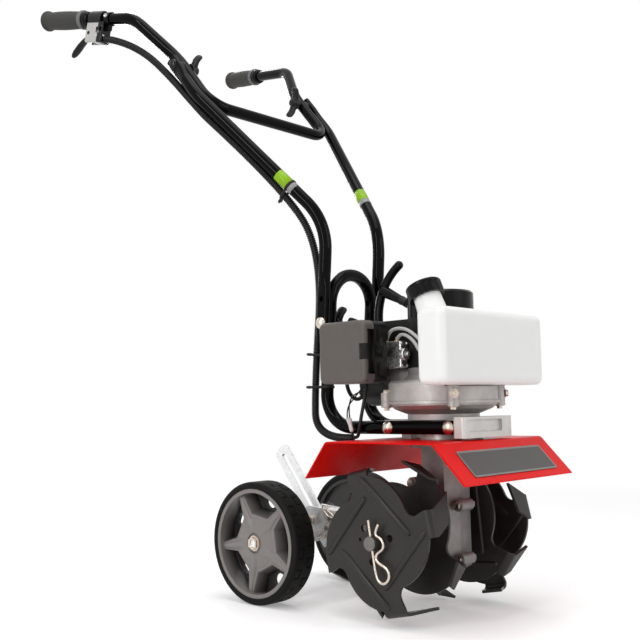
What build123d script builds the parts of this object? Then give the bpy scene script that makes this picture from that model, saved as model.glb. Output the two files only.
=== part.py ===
from build123d import *
from math import atan2, cos, pi, radians, sin, sqrt, tan
import os

# Walk-behind mini tiller. X runs across the machine, with the operator's right at -X,
# Y runs from the tines (front) to the handles (rear), and Z is up from the ground.
# Sizes are millimetres, and every piece is first placed from the tine axle.

# Driving dimensions: ground works
tine_radius = 108.0
tine_plane = 118.0
inner_tine_plane = 54.0
tine_thick = 4.0
tine_turn = 13.0
blade_width = 35.0
blade_offset = 10.0
blade_sweep = 28.0
blade_bend = 8.0
outer_hook = 44.0
inner_hook = 30.0
plate_waist = 78.0
plate_notch = 64.0
notch_round = 13.0
rib_place = 49.0
rib_span = (73.0, -37.0)
rib_width = 9.0
rib_height = 2.6
rib_lean = 53.0
rib_slope = 5.5
plate_hole = 5.0
plate_hole_place = 25.5
plate_hole_turn = 56.0
axle_radius = 9.5
wheel_radius = 89.0
wheel_width = 41.0
wheel_outer_face = 130.0
wheel_behind = 225.0
rim_radius = 79.0
wheel_axle_radius = 6.0

# Driving dimensions: tube frame and handles
tube_od = 19.0
tube_wall = 1.5
frame_half = 47.0
base_height = 256.0
base_front = -95.0
upright_foot = 150.7
upright_lean = 4.25
arch_height = 486.5
base_bend = 48.0
flat_width = 22.0
flat_thick = 11.0
flat_length = 30.0
flat_blend = 26.0
flat_tip = 14.0
flat_step = 0.2
lower_bolt_height = 410.0
peg_above_bolt = 36.0
lower_bend_point = (128.0, 562.0)
knee_point = (318.0, 783.0)
fold_point = (368.0, 843.0)
arm_half = 136.0
cross_bar_point = (304.0, 766.0)
splay_after = 24.0
top_bend_point = (181.0, 447.4, 938.4)
grip_end_point = (219.7, 652.0, 984.0)
grip_length = 112.0
bolt_radius = 3.9
bolt_head_radius = 9.0
bolt_head_height = 5.0

# Driving dimensions: engine, fender and gearcase
worm_centre = 30.0
worm_pitch_radius = 9.0
worm_wheel_teeth = 30
worm_turns = 5
gearcase_half = 30.0
fender_half = 131.6
fender_top = 239.0
fender_thick = 2.0
fender_front = -104.5
fender_rear = 74.5
fender_drop = 50.5
front_flange_run = 47.0
rear_flange_run = 38.5
clutch_radius = 76.0
clutch_neck = 50.0
deck_top = 320.0
deck_lug_place = 56.0
deck_lug_radius = 8.0
clutch_floor = 266.0
clutch_top = 292.0
crankcase_radius = 48.0
cylinder_height = 321.0
cylinder_face = 30.0
fin_count = 8
fin_pitch = 6.0
shroud_half = 62.0
shroud_low = 338.0
shroud_high = 408.0
shroud_rear = 58.0
recoil_radius = 46.5
flywheel_radius = 42.0
recoil_top = 444.5
tank_half = 124.0
tank_front = -120.5
tank_depth = 43.5
tank_low = 312.0
tank_high = 412.0
tank_wall = 2.5
neck_across = -100.0
neck_behind = 28.0
neck_lean = 22.0
neck_radius = 18.0
neck_bore = 15.0
cap_radius = 24.0
cap_height = 19.0
filter_face = -105.0
filter_split = -84.0
filter_back = -57.0
filter_front = 23.0
filter_rear = 109.0
filter_low = 318.0
filter_high = 405.0

# Clearances
running_gap = 0.06
bolt_gap = 0.1
seat_gap = 0.1
free_gap = 0.4

# Worked-out places
axle_height = tine_radius
tube_radius = tube_od / 2
crank_y = -worm_centre
lean_slope = tan(radians(upright_lean))
lower_half = frame_half + tube_radius + flat_thick / 2 + seat_gap
upper_half = arm_half + tube_od + free_gap
arm_angle = atan2(fold_point[1] - cross_bar_point[1], fold_point[0] - cross_bar_point[0])
arm_way = (cos(arm_angle), sin(arm_angle))

nodes = {}


def upright_y(height):
    return upright_foot - lean_slope * (height - base_height)


def rod(start, end, radius):
    way = Vector(*end) - Vector(*start)
    return Solid.make_cylinder(radius, way.length, Plane(origin=start, z_dir=way))


def rod_x(low, high, y, z, radius):
    return rod((low, y, z), (high, y, z), radius)


def rod_y(low, high, x, z, radius):
    return rod((x, low, z), (x, high, z), radius)


def rod_z(low, high, x, y, radius):
    return rod((x, y, low), (x, y, high), radius)


def block(x, y, z):
    size = Box(x[1] - x[0], y[1] - y[0], z[1] - z[0])
    return Pos((x[0] + x[1]) / 2, (y[0] + y[1]) / 2, (z[0] + z[1]) / 2) * size


def rounded(x, y, z, radius):
    shape = block(x, y, z)
    return fillet(shape.edges(), radius)


def swept(points, radii, radius):
    path = FilletPolyline(*points, radius=radii)
    section = Plane(origin=path @ 0, z_dir=path % 0) * Circle(radius)
    return sweep(section, path=path)


def turned(profile, x, y):
    face = Plane.XZ * make_face(Polyline(*profile, close=True))
    return Pos(x, y, 0) * revolve(face, axis=Axis.Z)


def across(shape):
    return mirror(shape, about=Plane.YZ)


def add(name, *shapes):
    solids = [solid for shape in shapes for solid in shape.solids()]
    nodes[name] = solids[0] if len(solids) == 1 else Compound(solids)


# Tube frame: one bent tube, with both base runs, the uprights and the carry arch
def frame_points():
    foot = (-frame_half, upright_foot, base_height)
    front = (-frame_half, base_front, base_height)
    shoulder = (-frame_half, upright_y(arch_height), arch_height)
    half = [front, foot, shoulder]
    return half + [(-x, y, z) for x, y, z in reversed(half)]


def frame_bends():
    arch_bend = frame_half - 1.0
    return [base_bend, arch_bend, arch_bend, base_bend]


def frame_path():
    return FilletPolyline(*frame_points(), radius=frame_bends())


def frame_tube():
    points = frame_points()
    radii = frame_bends()
    tube = swept(points, radii, tube_radius) - swept(points, radii, tube_radius - tube_wall)
    for y in frame_bolt_places():
        tube -= rod_x(-upper_half, upper_half, y, base_height, bolt_radius + bolt_gap)
    for z in (lower_bolt_height, lower_bolt_height + peg_above_bolt):
        tube -= rod_x(-upper_half, upper_half, upright_y(z), z, bolt_radius + bolt_gap)
    return tube


def frame_bolt_places():
    return (26.0, -76.4)


# Lower handles: round tubes, pressed flat at both ends where they are bolted
def flat_section(plane):
    return plane * SlotOverall(flat_width, flat_thick, rotation=90)


def handle_path():
    return Line((-lower_half, *lower_bend_point), (-upper_half, *knee_point))


def lower_handle():
    low_z = lower_bolt_height - flat_tip - 4.0
    flat_top = lower_bolt_height + peg_above_bolt + flat_tip
    up = Vector(0, -lean_slope, 1).normalized()
    low_plane = Plane(origin=(-lower_half, upright_y(low_z), low_z), x_dir=(1, 0, 0), z_dir=up)
    flat_rise = (flat_top - low_z) / up.Z
    round_plane = low_plane.offset(flat_rise + flat_blend)
    low_end = extrude(flat_section(low_plane), amount=flat_rise)
    flat_face = flat_section(low_plane.offset(flat_rise))
    low_blend = loft([flat_face, round_plane * Circle(tube_radius - flat_step)])

    along = Vector(0, arm_way[0], arm_way[1])
    pivot = Vector(-upper_half, *fold_point)
    top_plane = Plane(origin=pivot - along * (flat_length - flat_tip), x_dir=(1, 0, 0), z_dir=along)
    below = top_plane.offset(-flat_blend)
    top_end = extrude(flat_section(top_plane), amount=flat_length)
    top_blend = loft([below * Circle(tube_radius - flat_step), flat_section(top_plane)])

    points = [round_plane.origin, (-lower_half, *lower_bend_point), (-upper_half, *knee_point), below.origin]
    body = swept(points, [100.0, 100.0], tube_radius) - swept(points, [100.0, 100.0], tube_radius - tube_wall)
    handle = body + low_blend + top_blend + low_end + top_end
    handle -= rod_x(-upper_half - tube_od, 0, *fold_point, bolt_radius + bolt_gap)
    for z in (lower_bolt_height, lower_bolt_height + peg_above_bolt):
        handle -= rod_x(-upper_half, 0, upright_y(z), z, bolt_radius + bolt_gap)
    return handle


# Upper handlebar: one tube from grip to grip, through the cross bar
def handlebar_points():
    start = Vector(0, *cross_bar_point)
    splay = Vector(0, *fold_point) + Vector(0, arm_way[0], arm_way[1]) * splay_after
    half = [
        (-arm_half, start.Y, start.Z),
        (-arm_half, splay.Y, splay.Z),
        (-top_bend_point[0], top_bend_point[1], top_bend_point[2]),
        (-grip_end_point[0], grip_end_point[1], grip_end_point[2]),
    ]
    return half


def grip_way():
    points = handlebar_points()
    return (Vector(*points[3]) - Vector(*points[2])).normalized()


def handlebar_sweep(radius):
    half = handlebar_points()
    inset = Vector(*half[3]) - grip_way() * 6.0
    half[3] = (inset.X, inset.Y, inset.Z)
    points = list(reversed(half)) + [(-x, y, z) for x, y, z in half]
    return swept(points, [55.0, 120.0, 38.0, 38.0, 120.0, 55.0], radius)


def upper_handlebar():
    bar = handlebar_sweep(tube_radius) - handlebar_sweep(tube_radius - tube_wall)
    return bar - rod_x(-upper_half, upper_half, *fold_point, bolt_radius + bolt_gap)


def handle_saddle():
    outer = upper_half - flat_thick / 2 - seat_gap
    saddle = rod_x(-outer, -arm_half, *fold_point, tube_radius - 1.0)
    saddle -= handlebar_sweep(tube_radius + seat_gap)
    saddle -= rod_x(-outer, -arm_half, *fold_point, bolt_radius + bolt_gap)
    return saddle.solids().sort_by(Axis.X)[0]


def grip():
    radii = ((0, 17.5), (5, 17.5), (8, 14.5), (45, 16.0), (80, 14.5), (88, 14.5), (91, 16.5), (98, 16.5),
             (100, 19.0), (grip_length, 19.0))
    profile = [(0, 0)] + [(r, z) for z, r in radii] + [(0, grip_length)]
    body = revolve(Plane.XZ * make_face(Polyline(*profile, close=True)), axis=Axis.Z)
    body = fillet(body.edges().filter_by(GeomType.CIRCLE), 1.0)
    body -= Pos(0, 0, 6.0 - seat_gap) * Cylinder(tube_radius + running_gap, grip_length,
                                                 align=(Align.CENTER, Align.CENTER, Align.MIN))
    return Plane(origin=handlebar_points()[3], z_dir=-grip_way()) * body


# Round-headed bolts and two-lobed wing knobs
def carriage_bolt(head_x, end_x, y, z):
    side = 1 if end_x > head_x else -1
    shank = rod_x(min(head_x, end_x), max(head_x, end_x), y, z, bolt_radius)
    drop = (bolt_head_radius**2 - bolt_head_height**2) / (2 * bolt_head_height)
    dome = Pos(head_x + side * drop, y, z) * Sphere(bolt_head_height + drop)
    reach = bolt_head_height * 2
    cut = block(sorted((head_x, head_x - side * reach)), (y - 20, y + 20), (z - 20, z + 20))
    return shank + (dome & cut)


def wing_knob(base_x, y, z, turn):
    hub = Cone(10.0, 7.5, 15.0, align=(Align.CENTER, Align.CENTER, Align.MIN))
    knob = fillet(hub.edges().group_by(Axis.Z)[-1], 2.0)
    for side in (-1, 1):
        tip = (0, side * 22.0, 13.0)
        knob += rod((0, 0, 7.5), tip, 5.0) + Pos(*tip) * Sphere(6.0)
    knob -= Cylinder(bolt_radius + bolt_gap, 24.0)
    return Pos(base_x, y, z) * Rot(turn, 0, 0) * Rot(0, 90, 0) * knob


def bolts_and_knobs():
    upper_head = -(upper_half + flat_thick / 2 + seat_gap)
    lower_head = -(lower_half + flat_thick / 2 + seat_gap)
    upper_base = -(arm_half - tube_radius - free_gap)
    lower_base = -(frame_half - tube_radius - free_gap)
    bolt_reach = 11.0
    lower_y = upright_y(lower_bolt_height)
    upper = carriage_bolt(upper_head, upper_base + bolt_reach, *fold_point)
    lower = carriage_bolt(lower_head, lower_base + bolt_reach, lower_y, lower_bolt_height)
    bolts = [upper, lower]
    plate_side = -(frame_half - tube_radius - seat_gap)
    for y in frame_bolt_places():
        bolts.append(carriage_bolt(-(frame_half + tube_radius + seat_gap), plate_side + 12.0, y, base_height))
    case_bolts = [case_bolt(y, z) for y, z in case_bolt_places()]
    add("chassis_bolts", *bolts, *[across(bolt) for bolt in bolts], *case_bolts)
    upper_knob = wing_knob(upper_base, *fold_point, 8.0)
    lower_knob = wing_knob(lower_base, lower_y, lower_bolt_height, 56.0)
    add("knob_upper_right", upper_knob)
    add("knob_upper_left", across(upper_knob))
    add("knob_lower_right", lower_knob)
    add("knob_lower_left", across(lower_knob))


# Throttle control on the right grip, in a frame whose Z runs from the bend to the grip
def control_plane():
    way = grip_way()
    inner = Vector(*handlebar_points()[3]) - way * grip_length
    down = (Vector(0, 0, -1) - way * way.dot(Vector(0, 0, -1))).normalized()
    return Plane(origin=inner, x_dir=down, z_dir=way)


lever_pivot = (26.0, -6.0)
lever_reach = 56.0
lever_droop = 38.0
lever_half = 6.5


def throttle_control():
    plane = control_plane()
    half = 11.0
    shell = fillet(block((6, 42), (-half, half), (-42, -2)).edges(), 3.0)
    shell += Pos(0, 0, -20) * fillet(Cylinder(14.0, 30.0).edges(), 2.0)
    shell -= Pos(0, 0, -20) * Cylinder(tube_radius + running_gap, 60.0)
    shell -= block((13, 50), (-lever_half - free_gap, lever_half + free_gap), (-24, 2))
    pin_gap = 3.0 + running_gap
    shell -= Pos(lever_pivot[0], 0, lever_pivot[1] - 4.0) * Rot(90, 0, 0) * Cylinder(pin_gap, 2 * half + 2)
    shell -= block((16, 26), (half - 4.0, half + 1.0), (-40, -27))
    shell -= Pos(control_exit[0], 0, control_exit[1]) * Cylinder(loom_root + running_gap, 2 * loom_radius)
    add("throttle_housing", plane * shell)

    band = Pos(0, 0, -47) * (Cylinder(11.5, 9.0) - Cylinder(tube_radius + running_gap, 10.0))
    lug = block((10.5, 20), (-3.2, 3.2), (-51, -43))
    add("throttle_clamp", plane * (band + fillet(lug.edges().filter_by(Axis.Y), 1.5)))

    droop = radians(lever_droop)
    pivot_z = lever_pivot[1] - 4.0
    tip = (lever_pivot[0] + lever_reach * sin(droop), pivot_z + lever_reach * cos(droop))
    knee = (lever_pivot[0] + 9.0, pivot_z + 20.0)
    spine = Polyline((lever_pivot[0], pivot_z), knee, tip)
    blade = make_face(offset(spine, 2.6, side=Side.BOTH).edges())
    paddle = extrude(Plane.XZ * blade, amount=lever_half, both=True)
    boss = Pos(lever_pivot[0], 0, pivot_z) * Rot(90, 0, 0) * Cylinder(5.5, 2 * lever_half)
    pin = Pos(lever_pivot[0], 0, pivot_z) * Rot(90, 0, 0) * Cylinder(3.0, 2 * half + 1.0)
    add("throttle_lever", plane * (paddle + boss + pin))

    slider = fillet(block((16.4, 21), (half - 3.6, half + 2.5), (-37, -30)).edges(), 0.8)
    add("stop_switch", plane * slider)


# Control cable: inside a ribbed loom from the throttle, over the fold and down the frame
loom_radius = 6.0
loom_root = 4.9
loom_bore = 3.6
loom_gap = 0.6
lower_ribs = 80
upper_ribs = 48
control_exit = (34.0, -41.0)
control_lead = 29.0
upper_bow = (-172.0, 429.5, 877.5)
fold_clear = 20.0
loom_reach = tube_radius + loom_radius + loom_gap


def loom_points():
    diag = Vector(-upper_half, *knee_point) - Vector(-lower_half, *lower_bend_point)
    lift = diag.normalized()
    under = Vector(0, lift.Z, -lift.Y).normalized() * loom_reach
    start = Vector(-lower_half, *lower_bend_point) + diag * 0.86 + under
    mid = Vector(-lower_half, *lower_bend_point) + diag * 0.30 + under
    side = -(frame_half + lower_half) / 2
    behind = upright_foot + loom_reach - 2.0
    bend = (side - 4.0, upright_y(520.0) + loom_reach + 4.0, 520.0)
    low = (side, behind, base_height + 62.0)
    corner = (side, behind, base_height - loom_reach - 2.0)
    end = (side, 92.0, base_height - loom_reach + 1.0)
    return [tuple(start), tuple(mid), bend, low, corner, end]


def upper_loom_points():
    plane = control_plane()
    begin = plane.from_local_coords(Vector(control_exit[0], 0, control_exit[1]))
    leave = plane.from_local_coords(Vector(control_exit[0] + 2.0, 0, control_exit[1] - control_lead))
    under = Vector(0, arm_way[1], -arm_way[0]) * fold_clear
    fold = Vector(-upper_half - 2.0, *fold_point) + under
    lower = loom_points()
    way = (Vector(*lower[0]) - Vector(*lower[1])).normalized()
    end = Vector(*lower[0]) + way * free_gap
    last = end + way * 3 * loom_radius
    return [tuple(begin), tuple(leave), upper_bow, tuple(fold), tuple(last), tuple(end)]


def loom_path():
    return FilletPolyline(*loom_points(), radius=[150.0, 110.0, 400.0, 62.0])


def upper_loom_path():
    return FilletPolyline(*upper_loom_points(), radius=[60.0, 150.0, 150.0, 90.0])


def ribbed(path, ribs):
    length = path.length
    pitch = (length - 4 * loom_radius) / ribs
    sections = [(0.0, loom_root)]
    for rib in range(ribs):
        begin = 2 * loom_radius + rib * pitch
        sections += [(begin, loom_root), (begin + 0.25 * pitch, loom_radius),
                     (begin + 0.6 * pitch, loom_radius), (begin + 0.85 * pitch, loom_root)]
    sections.append((length, loom_root))
    rings = []
    for place, radius in sections:
        share = place / length
        plane = Plane(origin=path @ share, x_dir=(1, 0, 0), z_dir=path % share)
        rings.append(plane * Circle(radius))
    skin = loft(rings, ruled=True)
    bore = sweep(Plane(origin=path @ 0, z_dir=path % 0) * Circle(loom_bore), path=path)
    print("loom length", round(length, 1), "rib pitch", round(pitch, 2))
    return skin - bore


# Ground works: pin-wheel tine plates with pressed ribs and four hooks that sweep back as they fold
def ring_point(reach, angle):
    return (reach * cos(radians(angle)), reach * sin(radians(angle)))


def tine_outline(shoulder):
    tip = blade_offset + blade_width / 2
    heel = blade_offset - blade_width / 2
    notch = atan2(tip, shoulder)
    line = []
    for turn in range(4):
        quarter = Rot(0, 0, 90.0 * turn)
        first = (tip, shoulder)
        second = (heel, shoulder)
        waist = ring_point(plate_waist, 127.0)
        inner = ring_point(plate_notch, 180.0 - notch * 180.0 / pi)
        after = (-shoulder, tip)
        line += [quarter * Line(first, second), quarter * ThreePointArc(second, waist, inner),
                 quarter * Line(inner, after)]
    face = make_face(line)
    inner_corners = [v for v in face.vertices() if Vector(v.X, v.Y, 0).length < plate_notch + 1]
    return fillet(inner_corners, notch_round)


def tine_hook(hook, reach):
    half = tine_thick / 2
    tip = blade_offset + blade_width / 2
    heel = blade_offset - blade_width / 2
    slope = tan(radians(blade_sweep))
    sweep_out = (hook - blade_bend) * slope
    cut_back = blade_width / 3
    spine = FilletPolyline((0, reach - 2 * blade_bend), (0, reach - half), (hook, reach - half),
                           radius=blade_bend)
    strip = make_face(offset(spine, half, side=Side.BOTH).edges())
    blank = extrude(Plane.XZ * strip, amount=2 * blade_width, both=True)
    form = make_face(Polyline((-tine_thick, heel), (blade_bend, heel),
                              (hook - cut_back, heel + sweep_out - cut_back * slope), (hook, tip + sweep_out),
                              (blade_bend, tip), (-tine_thick, tip), close=True))
    shoulder = reach - half - blade_bend
    return blank & Plane.XY.offset(shoulder - seat_gap) * extrude(form, amount=2 * blade_bend)


def tine(hook):
    tip = blade_offset + blade_width / 2 + (hook - blade_bend) * tan(radians(blade_sweep))
    reach = sqrt(tine_radius**2 - tip**2)
    shoulder = reach - tine_thick / 2 - blade_bend
    body = extrude(Plane.YZ * tine_outline(shoulder), amount=tine_thick / 2, both=True)
    rib_length = rib_span[0] - rib_span[1]
    rib_middle = (rib_span[0] + rib_span[1]) / 2
    for turn in range(4):
        quarter = Rot(90.0 * turn, 0, 0)
        body += quarter * tine_hook(hook, reach)
        place = Rot(0, 0, 90.0 * turn + rib_lean) * Pos(rib_middle, rib_place)
        foot = Plane.YZ * (place * SlotOverall(rib_length, rib_width))
        crest = Plane.YZ * (place * SlotOverall(rib_length - rib_slope, rib_width - rib_slope))
        body += loft([foot, Pos(-tine_thick / 2 - rib_height, 0, 0) * crest])
    for hole in range(3):
        y, z = ring_point(plate_hole_place, plate_hole_turn + 120.0 * hole)
        body -= rod_x(-tine_thick, tine_thick, y, z, plate_hole)
    y, z = ring_point(plate_hole_place, plate_hole_turn - 38.0)
    return body - rod_x(-tine_thick, tine_thick, y, z, plate_hole / 2)


def tine_on_axle(side, place, hook, turn):
    hub_in = inner_tine_plane + tine_thick / 2 + free_gap
    if place == inner_tine_plane:
        hub_in = gearcase_half + 3.0
    shape = tine(abs(hook))
    shape = across(shape) if side * hook > 0 else shape
    shape = Pos(side * place, 0, axle_height) * Rot(-turn, 0, 0) * shape
    ends = sorted((side * hub_in, side * place))
    shape += rod_x(ends[0], ends[1], 0, axle_height, axle_radius + 4.0)
    return shape - rod_x(-2 * tine_plane, 2 * tine_plane, 0, axle_height, axle_radius + running_gap)


# R-clip through the axle end, one straight leg in the cross hole and one sprung leg beside the axle
clip_wire = 1.6
clip_tilt = 9.0
clip_place = tine_plane + tine_thick / 2 + 7.0
axle_half = clip_place + 6.0


def tine_clip():
    points = [(0, 27), (0, -42), (8, -54), (16, -42), (5.5, -23), (13.6, 0), (8.4, 16), (14, 26)]
    path = [(-clip_place, -y, z) for y, z in points]
    wire = swept(path, [6.0, 6.0, 6.0, 8.0, 8.0, 4.0], clip_wire)
    return Pos(0, 0, axle_height) * Rot(-clip_tilt, 0, 0) * wire


def tine_axle():
    shaft = rod_x(-axle_half, axle_half, 0, axle_height, axle_radius)
    shaft = chamfer(shaft.edges(), 1.0)
    for side in (-1, 1):
        hole = rod_z(-2 * axle_radius, 2 * axle_radius, side * clip_place, 0, clip_wire + bolt_gap)
        shaft -= Pos(0, 0, axle_height) * Rot(-clip_tilt, 0, 0) * hole
    return shaft


# Worm drive: a single-start worm below the engine turns the wheel on the tine axle
worm_wheel_radius = worm_centre - worm_pitch_radius
gear_module = 2 * worm_wheel_radius / worm_wheel_teeth
thread_pitch = pi * gear_module
thread_high = worm_pitch_radius + 0.85 * gear_module
thread_low = worm_pitch_radius - 1.2 * gear_module
thread_half = 0.17 * thread_pitch
shaft_radius = 6.5
worm_foot = axle_height - 30.0
drum_radius = 40.0
drum_floor = clutch_floor + 7.0
drum_top = clutch_top - 5.0


def worm_shaft():
    steps = 10
    start = axle_height - thread_pitch * (worm_turns // 2 + 0.25)
    rings = []
    for step in range(steps * worm_turns + 1):
        angle = 2 * pi * step / steps
        height = start + thread_pitch * step / steps
        plane = Plane(origin=(0, crank_y, height), x_dir=(cos(angle), sin(angle), 0),
                      z_dir=(-sin(angle), cos(angle), 0))
        root = thread_half + 0.3
        tip = thread_half - 0.3
        tooth = Polyline((thread_low - 0.5, -root), (thread_high, -tip), (thread_high, tip),
                         (thread_low - 0.5, root), close=True)
        rings.append(plane * make_face(tooth))
    thread = loft(rings, ruled=True)
    reach = thread_pitch * worm_turns
    core = rod_z(start - 2.0, start + reach + 2.0, 0, crank_y, thread_low)
    shaft = rod_z(worm_foot, drum_floor + 2.0, 0, crank_y, shaft_radius)
    drum = turned([(0, drum_floor), (drum_radius, drum_floor), (drum_radius, drum_top),
                   (drum_radius - 3, drum_top), (drum_radius - 3, drum_floor + 3), (0, drum_floor + 3)],
                  0, crank_y)
    return shaft + core + thread + drum


def worm_wheel():
    high = worm_wheel_radius + 0.85 * gear_module
    low = worm_wheel_radius - 1.2 * gear_module
    root = thread_half + 0.3
    tip = thread_half - 0.3
    tooth = make_face(Polyline((low - 1, -root), (high, -tip), (high, tip), (low - 1, root), close=True))
    step = 360.0 / worm_wheel_teeth
    disc = Circle(low) + [Rot(0, 0, 180.0 + step * (k + 0.5)) * tooth for k in range(worm_wheel_teeth)]
    wheel = extrude(Plane.YZ * disc, amount=5.0, both=True)
    wheel += rod_x(-9, 9, 0, 0, axle_radius + 5.0)
    wheel -= rod_x(-20, 20, 0, 0, axle_radius + running_gap)
    return Pos(0, 0, axle_height) * wheel


# Gearcase: two cast halves that meet on the middle plane
case_top = fender_top - fender_thick
case_foot = 62.0
case_round = 48.0
case_column = 44.0
case_draft = 6.0
case_boss = 14.0
bearing_radius = 13.0
bearing_length = 10.0
hitch_half = 13.0
hitch_front = 70.0
hitch_band = (98.0, 126.0)


def case_bolt_places():
    front = crank_y - case_column / 2 - 7.0
    low = radians(-50.0)
    low_place = ((case_round + 7.0) * cos(low), axle_height + (case_round + 7.0) * sin(low))
    return ((front, 150.0), (front, 78.0), (18.4, 177.1), low_place)


def gearcase_left():
    round_part = Pos(0, axle_height) * Circle(case_round)
    column = Pos(crank_y, (case_top + case_foot) / 2) * Rectangle(case_column, case_top - case_foot)
    shoulder = make_face(Polyline((crank_y, case_foot), (case_round - 14, axle_height + 34),
                                  (crank_y + case_column / 2, case_top - 32), close=True))
    half = extrude(Plane.YZ * round_part, amount=gearcase_half, taper=case_draft)
    half += extrude(Plane.YZ * column, amount=gearcase_half, taper=case_draft)
    half += extrude(Plane.YZ * shoulder, amount=gearcase_half - 6, taper=case_draft)
    flange_reach = case_column / 2 + 14.0
    flange = block((0, gearcase_half + 6), (crank_y - flange_reach, crank_y + flange_reach),
                   (case_top - 9, case_top))
    half += fillet(flange.edges().filter_by(Axis.Z).sort_by(Axis.X)[-2:], 8.0)
    for y, z in case_bolt_places():
        half += rod_x(0, case_boss, y, z, 8.0)
    half += block((0, hitch_half), (case_round - 14, hitch_front - seat_gap), hitch_band)
    half -= rod_z(worm_foot - 3, case_top + 1, 0, crank_y, thread_high + 1.4)
    for low in (worm_foot, case_top - 3 - bearing_length):
        half -= rod_z(low, low + bearing_length, 0, crank_y, bearing_radius + seat_gap)
    half -= rod_x(-1, 11.5, 0, axle_height, worm_wheel_radius + 4.0)
    half -= rod_x(-1, 2 * gearcase_half, 0, axle_height, axle_radius + free_gap)
    seat = gearcase_half - bearing_length
    half -= rod_x(seat, gearcase_half + 1, 0, axle_height, bearing_radius + seat_gap)
    for y, z in case_bolt_places():
        half -= rod_x(-1, 2 * gearcase_half, y, z, 3.0 + bolt_gap)
    return half


def case_bolt(y, z):
    head = Pos(-case_boss - seat_gap, y, z) * Rot(0, -90, 0) * extrude(RegularPolygon(5.5, 6), amount=5.0)
    nut = Pos(case_boss + seat_gap, y, z) * Rot(0, 90, 0) * extrude(RegularPolygon(5.5, 6), amount=5.0)
    return head + nut + rod_x(-16, 16, y, z, 3.0)


def gearcase_bearings():
    rings = []
    for low in (worm_foot, case_top - 3 - bearing_length):
        ring = rod_z(low, low + bearing_length, 0, crank_y, bearing_radius)
        rings.append(ring - rod_z(low, low + bearing_length, 0, crank_y, shaft_radius + running_gap))
    for side in (-1, 1):
        ends = sorted((side * gearcase_half, side * (gearcase_half - bearing_length)))
        ring = rod_x(*ends, 0, axle_height, bearing_radius)
        rings.append(ring - rod_x(*ends, 0, axle_height, axle_radius + running_gap))
    return rings


# Fender: one folded sheet with sloping front and rear flanges and open sides
def fender():
    low = fender_top - fender_drop
    line = FilletPolyline((fender_rear + rear_flange_run, low), (fender_rear, fender_top - fender_thick / 2),
                          (fender_front, fender_top - fender_thick / 2),
                          (fender_front - front_flange_run, low),
                          radius=7.0)
    sheet = make_face(offset(line, fender_thick / 2, side=Side.BOTH).edges())
    shape = extrude(Plane.YZ * sheet, amount=fender_half, both=True)
    return shape - rod_z(case_top - 20, fender_top + 5, 0, crank_y, 24.0)


# Base casting: sits on the fender between the two base tubes, with a front bar that holds their ends
casting_top = clutch_floor
bar_front = base_front - 8.5
bar_band = (242.0, 270.0)


def base_casting():
    inner = frame_half - tube_radius - seat_gap
    plate = block((-inner, inner), (bar_front + 8, 52), (base_height - tube_radius, casting_top))
    plate = fillet(plate.edges().filter_by(Axis.Z).sort_by(Axis.Y)[-2:], 12.0)
    bar = block((-frame_half - 12, frame_half + 12), (bar_front, bar_front + 18), bar_band)
    bar = fillet(bar.edges().filter_by(Axis.Z), 4.0)
    body = plate + bar + rod_z(fender_top, casting_top, 0, crank_y, 34.0)
    for y in frame_bolt_places():
        body += block((-14, 14), (y - 8, y + 8), (fender_top, casting_top))
    for side in (-1, 1):
        body -= rod_y(base_front - seat_gap, 0, side * frame_half, base_height, tube_radius + seat_gap)
        for y in frame_bolt_places():
            ends = sorted((side * (inner + 1), side * (inner - 13.0)))
            body -= rod_x(*ends, y, base_height, bolt_radius + bolt_gap)
    body -= rod_z(fender_top - 1, casting_top + 1, 0, crank_y, 20.0)
    recess = block((-47, 33), (bar_front - 1, bar_front + 4), (bar_band[0] + 8, bar_band[1] - 4))
    recess = fillet(recess.edges().filter_by(Axis.Y), 3.0)
    return body - recess


# Engine: clutch cup, crankcase, finned cylinder to the rear, fan shroud and recoil starter on top
crank_radius = 8.0
crank_top = 430.0


def deck_lugs():
    place = deck_lug_place
    return [(x, crank_y + y) for y in (-place, place) for x in (-place, place)]


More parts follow.
